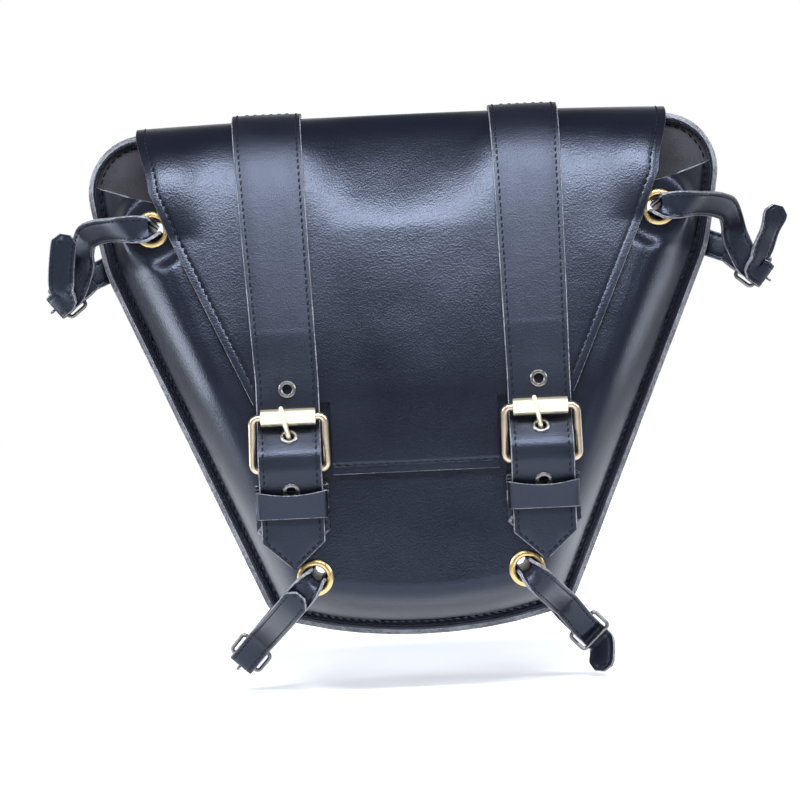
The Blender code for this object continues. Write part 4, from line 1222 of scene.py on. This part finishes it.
def make_flap_stitches():
    pitch, length = 4.4 * MM, 3.2 * MM
    stitches("flap_stitches", flap_stitch_lines(), "flap", "bag_leather", pitch, length)
    half = ANCHOR_SEAM_HALF
    depth = ANCHOR_Y - 0.25 * MM
    lines = [
        [(Vector((lerp(-half, half, step / 60), depth, ANCHOR_LOW_Z + height)), REAR) for step in range(61)]
        for height in ANCHOR_SEAMS]
    stitches("flap_anchor_stitches", lines, "bag", "bag_leather", pitch, length)


make_flap()
make_flap_stitches()


# ---------------------------------------------------------------- closing straps and buckles


def base_y(z):
    """Front panel's outer face behind the straps and buckles."""
    return front_y(0, z)


STRAP_PLACES = curve_through(STRAP_ROUTE, 6)


def strap_clearance(z):
    """Clearance of the strap's back face over the front panel."""
    for (z1, n1), (z0, n0) in zip(STRAP_PLACES[:-1], STRAP_PLACES[1:]):
        if z0 * MM <= z <= z1 * MM:
            return lerp(n0, n1, (z / MM - z0) / (z1 - z0)) * MM
    return STRAP_PLACES[0][1] * MM


def strap_backs():
    """Back-face centreline (y, z), from the top of the bag to the strap's tip."""
    backs = []
    top_rows = 52
    for row in range(top_rows):
        v = lerp(STRAP_START, FLAP_TOP_ROWS + 0.24, row / (top_rows - 1))
        before = flap_outer(STRAP_X, v - 0.01)
        after = flap_outer(STRAP_X, v + 0.01)
        normal = RIGHT.cross(before - after).normalized()
        place = flap_outer(STRAP_X, v) + normal * STRAP_LIFT
        if place.z > 12 * MM:
            backs.append((place.y, place.z))
    for z, clearance in STRAP_PLACES:
        backs.append((base_y(z * MM) - clearance * MM, z * MM))
    return backs


def strap_half(z):
    """Half-width of the strap, pointed at its lower end and a little wider towards its top."""
    widening = STRAP_WIDENING * clamp(z / STRAP_TOP_Z)
    return lerp(1.5 * MM, STRAP_HALF, clamp((z - TIP_Z) / TIP_SHOULDER)) + widening


def strap_middle(side, z):
    """Sideways place of a strap's middle line; the left strap leans outwards above the buckle."""
    lean = LEFT_STRAP_LEAN if side < 0 else 0
    return side * STRAP_X + lean * clamp(z / STRAP_TOP_Z)


def strap_at(z):
    """Centre of the strap's thickness at a height, with its outward normal."""
    step = 1.5 * MM
    back = Vector((0, base_y(z) - strap_clearance(z), z))
    above = Vector((0, base_y(z + step) - strap_clearance(z + step), z + step))
    below = Vector((0, base_y(z - step) - strap_clearance(z - step), z - step))
    normal = RIGHT.cross(above - below).normalized()
    return back + normal * STRAP / 2, normal


def band_section(half, thickness, stitch):
    """Closed section of a flat strap: rounded edges, stitch grooves and the joint between its plies."""
    rise = thickness / 2
    stitch = min(stitch, half * 0.6)
    seam = half - stitch
    top = [(half - 0.12 * MM, rise * 0.35), (half - 0.25 * MM, rise * 0.8), (half - 0.7 * MM, rise)]
    top += [(seam + 0.8 * MM, rise), (seam, rise - 0.28 * MM), (seam - 0.8 * MM, rise)]
    top = [place for place in top if place[0] > 0.05 * MM]
    top += [(half * 0.4, rise + 0.1 * MM), (0, rise + 0.14 * MM)]
    dent = 0.3 * MM
    quarter = [(half - dent, 0)] + top
    upper = quarter + [(-x, h) for x, h in reversed(quarter[1:-1])]
    lower = [(-half + dent, 0)] + [(-x, -h) for x, h in quarter[1:-1]] + [(0, -rise)]
    lower += [(x, -h) for x, h in reversed(quarter[1:-1])]
    return upper + lower


def section_slots(section, half):
    """Edge finish on the strips that face sideways."""
    limit = half - 0.45 * MM
    slots = []
    for index, place in enumerate(section):
        after = section[(index + 1) % len(section)]
        slots.append(1 if abs(place[0]) > limit - 0.3 * MM and abs(after[0]) > limit - 0.3 * MM else 0)
    return slots


def path_normals(centre_x, path):
    """Vectors and outward normals of a (y, z) path in one vertical plane."""
    places = [Vector((centre_x, y, z)) for y, z in path]
    last = len(places) - 1
    normals = []
    for index in range(len(places)):
        along = places[max(index - 1, 0)] - places[min(index + 1, last)]
        normals.append(RIGHT.cross(along).normalized())
    return places, normals


def make_band(name, places, normals, halves, thickness):
    """A strap whose width runs along X, swept along its middle line."""
    rings = []
    for place, normal, half in zip(places, normals, halves):
        section = band_section(half, thickness, STRAP_STITCH)
        rings.append([place + RIGHT * x + normal * h for x, h in section])
    slots = section_slots(band_section(max(halves), thickness, STRAP_STITCH), max(halves))
    return sweep(name, rings, [STRAP_LEATHER, EDGE], slots)


def tidy_path(path, gap):
    """Drop points that lie closer than gap to the one before."""
    kept = [path[0]]
    for place in path[1:]:
        if math.dist(place, kept[-1]) >= gap:
            kept.append(place)
    return kept


def on_front(centre_x, points):
    """Buckle points (sideways, height, clearance over the panel) in world metres."""
    return [
        Vector((centre_x + across, base_y(height) - clearance, height))
        for across, height, clearance in points]


def make_strap(side, side_name):
    centre_x = side * STRAP_X
    dense = curve_through(tidy_path(strap_backs(), 1.2 * MM), 2)
    dense = [place for place in dense if place[1] > TIP_Z + 0.1 * MM or place == dense[-1]]
    places, normals = path_normals(centre_x, dense)
    for place in places:
        place.x = strap_middle(side, place.z)
    middles = [place + normal * STRAP / 2 for place, normal in zip(places, normals)]
    halves = [strap_half(place[1]) for place in dense]
    piece = make_band(f"flap_strap_{side_name}_leather", middles, normals, halves, STRAP)
    seats = []
    for hole_z in HOLE_Z:
        centre, normal = strap_at(hole_z)
        centre.x = centre_x
        seats.append((centre, normal))
    drill(piece, [(centre, normal, STRAP_HOLE, 12 * MM, 32) for centre, normal in seats])
    fit_out(piece, "flap", "strap_leather", f"flap_strap_{side_name}")
    lines = []
    for edge in (-1, 1):
        line = []
        for middle, normal, half in zip(middles, normals, halves):
            if half < STRAP_STITCH * 1.3:
                continue
            inset = STRAP_STITCH if half > STRAP_HALF - 0.1 * MM else STRAP_STITCH * 1.15
            beside = middle + Vector((edge * (half - inset), 0, 0))
            line.append((beside + normal * (STRAP / 2 - 0.1 * MM), normal))
        lines.append(line)
    across = []
    for step in range(12):
        x = lerp(-STRAP_HALF + 4 * MM, STRAP_HALF - 4 * MM, step / 11)
        across.append((middles[4] + Vector((x, 0, 0)) + normals[4] * (STRAP / 2 + 0.02 * MM), normals[4]))
    stitches(f"strap_stitches_{side_name}", lines + [across], "flap", "strap_leather", 4.0 * MM, 2.9 * MM)
    profile = round_profile(STRAP_EYELET, 0.3 * MM)
    for number, (centre, normal) in enumerate(seats, 1):
        ring = lathe(f"strap_eyelet_{side_name}_{number}_turned", profile,
                     centre + normal * STRAP / 2, normal, DARK_NICKEL, 48)
        fit_out(ring, "flap", "dark_nickel", f"strap_eyelet_{side_name}_{number}")


def chape_route():
    heel_z, heel_n = HEEL
    route = [(z * MM, n * MM) for z, n in CHAPE_UP]
    for step in range(6):
        angle = math.radians(lerp(90, -90, step / 5))
        route.append((heel_z + CHAPE_LOOP * math.cos(angle), heel_n - CHAPE_LOOP * math.sin(angle)))
    route += [(z * MM, n * MM) for z, n in CHAPE_DOWN]
    return curve_through(route, 5)


def make_chape(side, side_name):
    centre_x = side * STRAP_X
    route = chape_route()
    crown = max(range(len(route)), key=lambda index: route[index][0])
    halves = []
    for index, (z, n) in enumerate(route):
        wide = lerp(CHAPE_LOOP_HALF, CHAPE_HALF, smooth((CHAPE_WAIST_Z - z) / (4 * MM)))
        if index < crown:
            wide = min(wide, lerp(2 * MM, CHAPE_HALF, clamp((z - CHAPE_TIP_Z) / (19 * MM))))
        halves.append(wide)
    places, normals = path_normals(centre_x, [(base_y(z) - n, z) for z, n in route])
    normals = [-normal for normal in normals]
    piece = make_band(f"chape_{side_name}_leather", places, normals, halves, CHAPE)
    slot_place = on_front(centre_x, [(0, CHAPE_SLOT_Z, HEEL[1])])[0]
    drill(piece, [(slot_place, FORWARD, 2.4 * MM, 16 * MM, 4)])
    fit_out(piece, "bag", "strap_leather", f"chape_{side_name}")
    lines = []
    for edge in (-1, 1):
        lines.append([
            (place + Vector((edge * (half - STRAP_STITCH), -CHAPE / 2 + 0.12 * MM, 0)), FORWARD)
            for place, half, (z, n) in list(zip(places, halves, route))[:crown]
            if z < -60 * MM and half > STRAP_STITCH * 1.3])
    stitches(f"chape_stitches_{side_name}", lines, "bag", "strap_leather", 4.0 * MM, 2.9 * MM)


def make_keeper(side, side_name):
    """Band round the strap, gaping forwards at its upper edge."""
    centre_x = side * STRAP_X
    half = STRAP_HALF + 1.0 * MM
    rear = KEEPER_REAR + KEEPER_WALL

    def around(z, front, grow, dip):
        flat = [(-half, rear), (half, rear), (half, front), (-half, front)]
        points = []
        for index, place in enumerate(flat):
            radius = 3.0 * MM if index > 1 else 1.0 * MM
            corner = fillet(flat[index - 1], place, flat[(index + 1) % 4], radius, 6)
            points += corner
            if index == 2:
                far_end = Vector((-half + 3 * MM, front))
                points += [corner[-1].lerp(far_end, step / 12) for step in range(1, 12)]
        centre = Vector((0, (rear + front) / 2))
        scale_x = (half + grow) / half
        scale_n = ((front - rear) / 2 + grow) / ((front - rear) / 2)
        grown = []
        for point in points:
            away = point - centre
            middle = math.cos(math.pi / 2 * clamp(abs(away.x) / half)) if away.y > 0 else 0
            clearance = away.y * scale_n + centre.y + 0.7 * MM * middle
            grown.append((away.x * scale_x, z - dip * middle, clearance))
        return on_front(centre_x, grown)

    rows = 8
    outer = []
    inner = []
    for row in range(rows + 1):
        share = row / rows
        z = lerp(KEEPER_TOP_Z, KEEPER_LOW_Z, share)
        front = lerp(*KEEPER_FRONT, share ** 0.8)
        dip = KEEPER_DIP * (1 - share)
        outer.append(around(z, front, KEEPER_WALL, dip))
        inner.append(around(z, front, 0, dip))
    lip = 0.35 * MM
    top_round = [[(a + b) / 2 + Vector((0, 0, lip)) for a, b in zip(inner[0], outer[0])]]
    low_round = [[(a + b) / 2 - Vector((0, 0, lip)) for a, b in zip(inner[-1], outer[-1])]]
    loops = outer + low_round + inner[::-1] + top_round
    rings = [[loop[index] for loop in loops] for index in range(len(loops[0]))]
    slots = [0] * rows + [1, 1] + [0] * rows + [1, 1]
    piece = sweep(f"keeper_{side_name}_leather", rings, [STRAP_LEATHER, EDGE], slots, True)
    fit_out(piece, "bag", "strap_leather", f"keeper_{side_name}")


def frame_route():
    """Closed wire of the buckle frame, with rounded corners."""
    heel_z, heel_n = HEEL
    top_z, top_n = ROLLER
    corners = ((-FRAME_HALF_HEEL, heel_z), (FRAME_HALF_HEEL, heel_z),
               (FRAME_HALF_TOP, top_z), (-FRAME_HALF_TOP, top_z))
    return [
        (point.x, point.y, lerp(heel_n, top_n, (point.y - heel_z) / (top_z - heel_z)))
        for point in rounded(corners, FRAME_CORNER, 8)]


def prong_route():
    """Open eye round the heel bar, then up through the strap's hole and over the roller."""
    heel_z, heel_n = HEEL
    eye = WIRE + GAP + PRONG
    route = []
    for step in range(14):
        angle = math.radians(lerp(345, 90, step / 13))
        route.append((0, heel_z + eye * math.cos(angle), heel_n - eye * math.sin(angle)))
    shank = [(z * MM, n * MM) for z, n in (
        (-44, 6.1), (-38, 7.1), (-34.5, 8.3), (-31.6, 10.1), (-27.5, 13.6), (-23.5, 16.7),
        (-19.5, 18.0), (-14.5, 17.7))]
    tip_z, hole_z = shank[-1][0], HOLE_Z[1]
    for z, n in curve_through(shank, 4):
        route.append((PRONG_LEAN * clamp((z - hole_z) / (tip_z - hole_z)), z, n))
    return route


def make_buckle(side, side_name):
    centre_x = side * STRAP_X
    roller_place = on_front(centre_x, [(0, *ROLLER)])[0]
    wire(f"buckle_frame_{side_name}_cast", on_front(centre_x, frame_route()), WIRE, True, BRONZE,
         f"buckle_{side_name}", "bronze", f"buckle_frame_{side_name}")
    wire(f"buckle_prong_{side_name}_wire", on_front(centre_x, prong_route()), PRONG + PRONG_EXTRA, False,
         PALE_BRASS, f"prong_{side_name}", "brass", f"buckle_prong_{side_name}")
    inner, outer = (WIRE + GAP) / MM, ROLLER_RADIUS / MM
    half = ROLLER_LENGTH / 2 / MM
    tube = round_profile(((inner, -half), (inner, half), (outer, half), (outer, -half)), 0.6 * MM)
    roller = lathe(f"buckle_roller_{side_name}_turned", tube, roller_place, RIGHT, PALE_BRASS, 64)
    fit_out(roller, f"roller_{side_name}", "pale_brass", f"buckle_roller_{side_name}")


for side, side_name in SIDES:
    make_strap(side, side_name)
    make_chape(side, side_name)
    make_keeper(side, side_name)
    make_buckle(side, side_name)


# ---------------------------------------------------------------- mounting loops


def tie_stations(loop):
    """Centreline stations (x, y, z, fold) of one mounting strap, from its sewn end to its tip."""
    out = Vector((loop["along"][0], 0, loop["along"][1])).normalized()
    heel = Vector((loop["heel"][0], -1, loop["heel"][1]))
    eyelet_x, eyelet_z = (value / MM for value in loop["eyelet"])
    to_heel = Vector((heel.x - eyelet_x, 0, heel.z - eyelet_z))
    line = to_heel.normalized()
    front = -panel_y(*loop["eyelet"]) / MM

    def by_buckle(places):
        return [(*(heel + out * along - Vector((0, forward, 0))), 0) for along, forward in places]

    def behind(along, y, fold):
        return (eyelet_x + line.x * along, y, eyelet_z + line.z * along, fold)

    stations = by_buckle(TIE_FOLD_BACK)
    reach = to_heel.length - 12
    stations += [behind(*station) for station in (
        (lerp(reach, 14, 0.4), 6.6, 0), (lerp(reach, 14, 0.75), 7.4, 0), (14, 7.4, 0),
        (6, 7.1, 0.35), (1.2, 5.2, 0.9))]
    for step in range(INSIDE_STEPS + 1):
        stations.append((eyelet_x, lerp(1.5, -front - 1.0, step / INSIDE_STEPS), eyelet_z, 1))
    first, *rest = loop["front"]
    stations.append((lerp(eyelet_x, first[0], 0.35), -front - 5.4, lerp(eyelet_z, first[2], 0.35), 0.85))
    stations.append((first[0], -first[1], first[2], 0.45))
    stations += [(x, -forward, z, 0) for x, forward, z in rest]
    stations += by_buckle(TIE_THROUGH)
    stations += by_buckle(TIE_OVER if loop["over"] else TIE_UNDER)
    stations += [(x, -forward, z, 0) for x, forward, z in loop["tail"]]
    return stations


def tie_frames(loop):
    """Points, width and face directions along one mounting strap, in metres."""
    side = loop["side"]
    rows = [(side * x, y, z, fold) for x, y, z, fold in curve_through(tie_stations(loop), 4)]
    across = Vector((-side * loop["along"][1], 0, loop["along"][0])).normalized()
    frames = []
    last = len(rows) - 1
    for index, (x, y, z, fold) in enumerate(rows):
        ahead = Vector(rows[min(index + 1, last)][:3])
        behind = Vector(rows[max(index - 1, 0)][:3])
        tangent = (ahead - behind).normalized()
        width = across - tangent * across.dot(tangent)
        width.normalize()
        frames.append((Vector((x, y, z)) * MM, width, tangent.cross(width), clamp(fold)))
    return frames


def tie_place(flat_frame, side, offset, height):
    """A point of a strap's section: offset across, height off the middle, curled where it is folded."""
    place, width, normal, fold = flat_frame
    curl = TIE_CURL * fold
    if curl < 0.01:
        return place + width * offset + normal * height * side
    radius = TIE_HALF / curl
    angle = offset / radius
    mean = radius * (1 - math.sin(curl) / curl)
    depth = radius * (1 - math.cos(angle)) - mean
    centre = place + width * radius * math.sin(angle) + normal * depth * side
    outward = normal * math.cos(angle) * side - width * math.sin(angle)
    return centre + outward * height


def tie_axes(loop):
    """The buckled end's own axes, outwards and across, and the middle of its heel bar."""
    side = loop["side"]
    along = Vector((side * loop["along"][0], 0, loop["along"][1])).normalized()
    heel = Vector((side * loop["heel"][0], -1, loop["heel"][1])) * MM
    return along, Vector((along.z, 0, -along.x)), heel


def tie_stitch_lines(side, frames, lengths):
    """Lines near both edges and across the tip, on both faces of a mounting strap."""
    total = lengths[-1]
    tip = frames[min(range(len(lengths)), key=lambda index: abs(lengths[index] - (total - 3.2 * MM)))]

    def stitch_at(flat_frame, offset, face, lift):
        place = tie_place(flat_frame, side, offset, face * (TIE / 2 + lift))
        beyond = tie_place(flat_frame, side, offset, face * (TIE / 2 + 1 * MM))
        return place, (beyond - place).normalized()

    inset = TIE_HALF - TIE_STITCH
    lines = []
    for face in (-1, 1):
        lines += [
            [stitch_at(flat_frame, edge * inset, face, -0.16 * MM)
             for flat_frame, length in zip(frames, lengths) if 6 * MM < length < total - 4 * MM]
            for edge in (-1, 1)]
        lines.append([
            stitch_at(tip, lerp(-1, 1, step / 5) * (inset - 0.6 * MM), face, 0.02 * MM) for step in range(6)])
    return lines


def make_tie_strap(name, loop):
    side = loop["side"]
    frames = tie_frames(loop)
    lengths = running_lengths([flat_frame[0] for flat_frame in frames])
    rings = []
    for flat_frame, length in zip(frames, lengths):
        half = lerp(TIE_TIP_HALF, TIE_HALF, clamp((lengths[-1] - length) / TIE_TIP))
        section = band_section(half, TIE, TIE_STITCH)
        rings.append([tie_place(flat_frame, side, x, h) for x, h in section])
    slots = section_slots(band_section(TIE_HALF, TIE, TIE_STITCH), TIE_HALF)
    piece = sweep(f"mount_strap_{name}_leather", rings, [STRAP_LEATHER, EDGE], slots)
    along, _, heel = tie_axes(loop)
    lie = Matrix((along, REAR.cross(along), REAR)).transposed().to_quaternion()
    cut(piece, lie, heel, (4.4 * MM, 1.6 * MM, 9 * MM), 16, True)
    fit_out(piece, f"mount_{name}", "strap_leather", f"mount_strap_{name}")
    stitches(f"mount_stitches_{name}", tie_stitch_lines(side, frames, lengths), f"mount_{name}",
             "strap_leather", 3.4 * MM, 2.4 * MM, 0.36 * MM)


def make_tie_buckle(name, loop):
    along, across, heel = tie_axes(loop)
    corners = ((0, -SMALL_FRAME_HALF), (SMALL_FRAME_LENGTH, -SMALL_FRAME_HALF),
               (SMALL_FRAME_LENGTH, SMALL_FRAME_HALF), (0, SMALL_FRAME_HALF))
    route = [heel + along * point.x + across * point.y for point in rounded(corners, 2.2 * MM, 6)]
    wire(f"mount_frame_{name}_wire", route, SMALL_WIRE, True, DARK_NICKEL, f"mount_{name}", "dark_nickel",
         f"mount_frame_{name}")
    eye = SMALL_WIRE + GAP + SMALL_PRONG
    shank = []
    for step in range(14):
        angle = math.radians(lerp(10, 270, step / 13))
        shank.append(heel + along * eye * math.cos(angle) + FORWARD * eye * math.sin(angle))
    start = (0.0, -eye / MM)
    for reach, forward in curve_through((start,) + SMALL_PRONG_ROUTE, 4)[1:]:
        shank.append(heel + along * reach * MM + FORWARD * forward * MM)
    wire(f"mount_prong_{name}_wire", shank, SMALL_PRONG, False, DARK_NICKEL, f"mount_prong_{name}",
         "dark_nickel", f"mount_prong_{name}")


for loop_name, loop_data in LOOPS.items():
    make_tie_strap(loop_name, loop_data)
    make_tie_buckle(loop_name, loop_data)


# ---------------------------------------------------------------- floor, light and camera


# Painted glow of the floor, a surface that is no lamp: light it gives off under the bag and far away, where
# it meets the walls
FLOOR_PAINTED_GLOW = (0.42, 0.95)
FLOOR_PAINTED_GLOW_REACH = (0.35, 2.2)
# Where the floor's painted lit white fades to painted shade grey: distance at the sides, and place in front
FLOOR_SIDES = (0.25, 0.5)
FLOOR_FRONT = (-0.95, -0.62)
FLOOR_DROP = 3 * MM
# Colour of the walls by the height of the direction, and the range of its Y over which they turn white
WORLD_STOPS = ((0.1, (0.34, 0.35, 0.38)), (0.5, (0.22, 0.23, 0.26)), (0.9, (0.14, 0.145, 0.17)))
WHITE_WALL = (0.8, 0.93)
# Floor colours: painted shade grey out at the sides and in front, painted lit white round the bag
FLOOR_STOPS = ((0.0, (0.28, 0.285, 0.3)), (1.0, (0.86, 0.87, 0.89)))


def painted_light_floor():
    """Painted light and shade on the floor: lit white and glowing round the bag and behind it, painted shade
    grey further out at its sides and in front.
    """
    result, tree, shader, place = shader_of("painted_light_floor", FLOOR_STOPS[-1][1], 0.9)
    away = add_node(tree, "VectorMath", {0: place})
    away.operation = "LENGTH"
    # Painted glow: emission strength that grows with distance from the bag
    glow = remap(tree, away.outputs["Value"], *FLOOR_PAINTED_GLOW_REACH, *FLOOR_PAINTED_GLOW)
    x, y, _ = add_node(tree, "SeparateXYZ", {"Vector": place}).outputs
    spread = add_up(tree, math_node(tree, "ABSOLUTE", x), y, -0.13)
    sides = remap(tree, spread, *FLOOR_SIDES, 1, 0)
    # Share of the floor painted lit white and glowing; the rest is painted shade grey
    white = math_node(tree, "MULTIPLY", sides, remap(tree, y, *FLOOR_FRONT, 0, 1))
    colour_by(tree, shader, add_up(tree, white, noise_node(tree, place, 30, 2), 0.02), FLOOR_STOPS)
    tree.links.new(math_node(tree, "MULTIPLY", glow, white), shader.inputs["Emission Strength"])
    shader.inputs["Emission Color"].default_value = (0.97, 0.98, 1.0, 1)
    return result


bpy.ops.mesh.primitive_plane_add(size=30, location=(0, 0, CAD_BOUNDS[0].z - FLOOR_DROP))
floor = bpy.context.object
floor.name = "floor"
floor.data.materials.append(painted_light_floor())

bpy.context.scene.view_settings.view_transform = "Standard"


def studio_world():
    """A white wall behind the bag, greyer walls at its sides and in front, and a dark ceiling."""
    result = bpy.data.worlds.new("studio")
    result.use_nodes = True
    tree = result.node_tree
    direction = tree.nodes.new("ShaderNodeTexCoord").outputs["Generated"]
    _, y, z = add_node(tree, "SeparateXYZ", {"Vector": direction}).outputs
    mix = tree.nodes.new("ShaderNodeMix")
    mix.data_type = "RGBA"
    factor, first, second, blended = mix.inputs[0], mix.inputs[6], mix.inputs[7], mix.outputs[2]
    tree.links.new(remap(tree, y, *WHITE_WALL, 0, 1), factor)
    tree.links.new(ramp(tree, z, WORLD_STOPS), first)
    second.default_value = (1, 1, 1, 1)
    tree.links.new(blended, tree.nodes["Background"].inputs["Color"])
    return result


bpy.context.scene.world = studio_world()


LIGHT_COLOUR = (0.86, 0.91, 1.0)
# Name, place, target, width, height and power
LIGHTS = (
    ("key_softbox", (0, -1.36, 1.38), (0, 0, 0.05), 1.9, 0.45, 84),
    ("left_fill", (-1.5, -0.9, 0.85), (0, 0, 0.05), 0.8, 0.6, 18),
    ("right_fill", (1.5, -0.9, 0.85), (0, 0, 0.05), 0.8, 0.6, 18),
    ("left_reflector", (-0.62, 0.04, -0.08), (-0.15, -0.03, 0.04), 0.34, 0.18, 1.5),
    ("right_reflector", (0.64, 0.16, -0.08), (0.15, -0.03, 0.04), 0.32, 0.16, 0.5))


def area_light(name, place, target, width, height, power):
    data = bpy.data.lights.new(name, "AREA")
    data.shape = "RECTANGLE"
    data.size = width
    data.size_y = height
    data.energy = power
    data.color = LIGHT_COLOUR
    light = add_object(name, data)
    light.location = place
    light.rotation_euler = (Vector(target) - Vector(place)).to_track_quat("-Z", "Y").to_euler()


for light_values in LIGHTS:
    area_light(*light_values)

# Width of the view at the bag, where its middle lies beside the origin, and how far the camera is rolled
CAMERA_DISTANCE = 1.8
SENSOR = 36
VIEW_WIDTH = 472 * MM
VIEW_SHIFT = Vector((-7.08 * MM, -12.98 * MM))
CAMERA_ROLL = math.radians(-2.6)

camera_data = bpy.data.cameras.new("camera")
camera_data.sensor_width = SENSOR
camera_data.lens = SENSOR * CAMERA_DISTANCE / VIEW_WIDTH
camera = add_object("camera", camera_data)
turned_shift = Matrix.Rotation(CAMERA_ROLL, 2) @ VIEW_SHIFT
camera.location = (turned_shift.x, -CAMERA_DISTANCE, turned_shift.y)
camera.rotation_euler = (math.pi / 2, -CAMERA_ROLL, 0)
bpy.context.scene.camera = camera
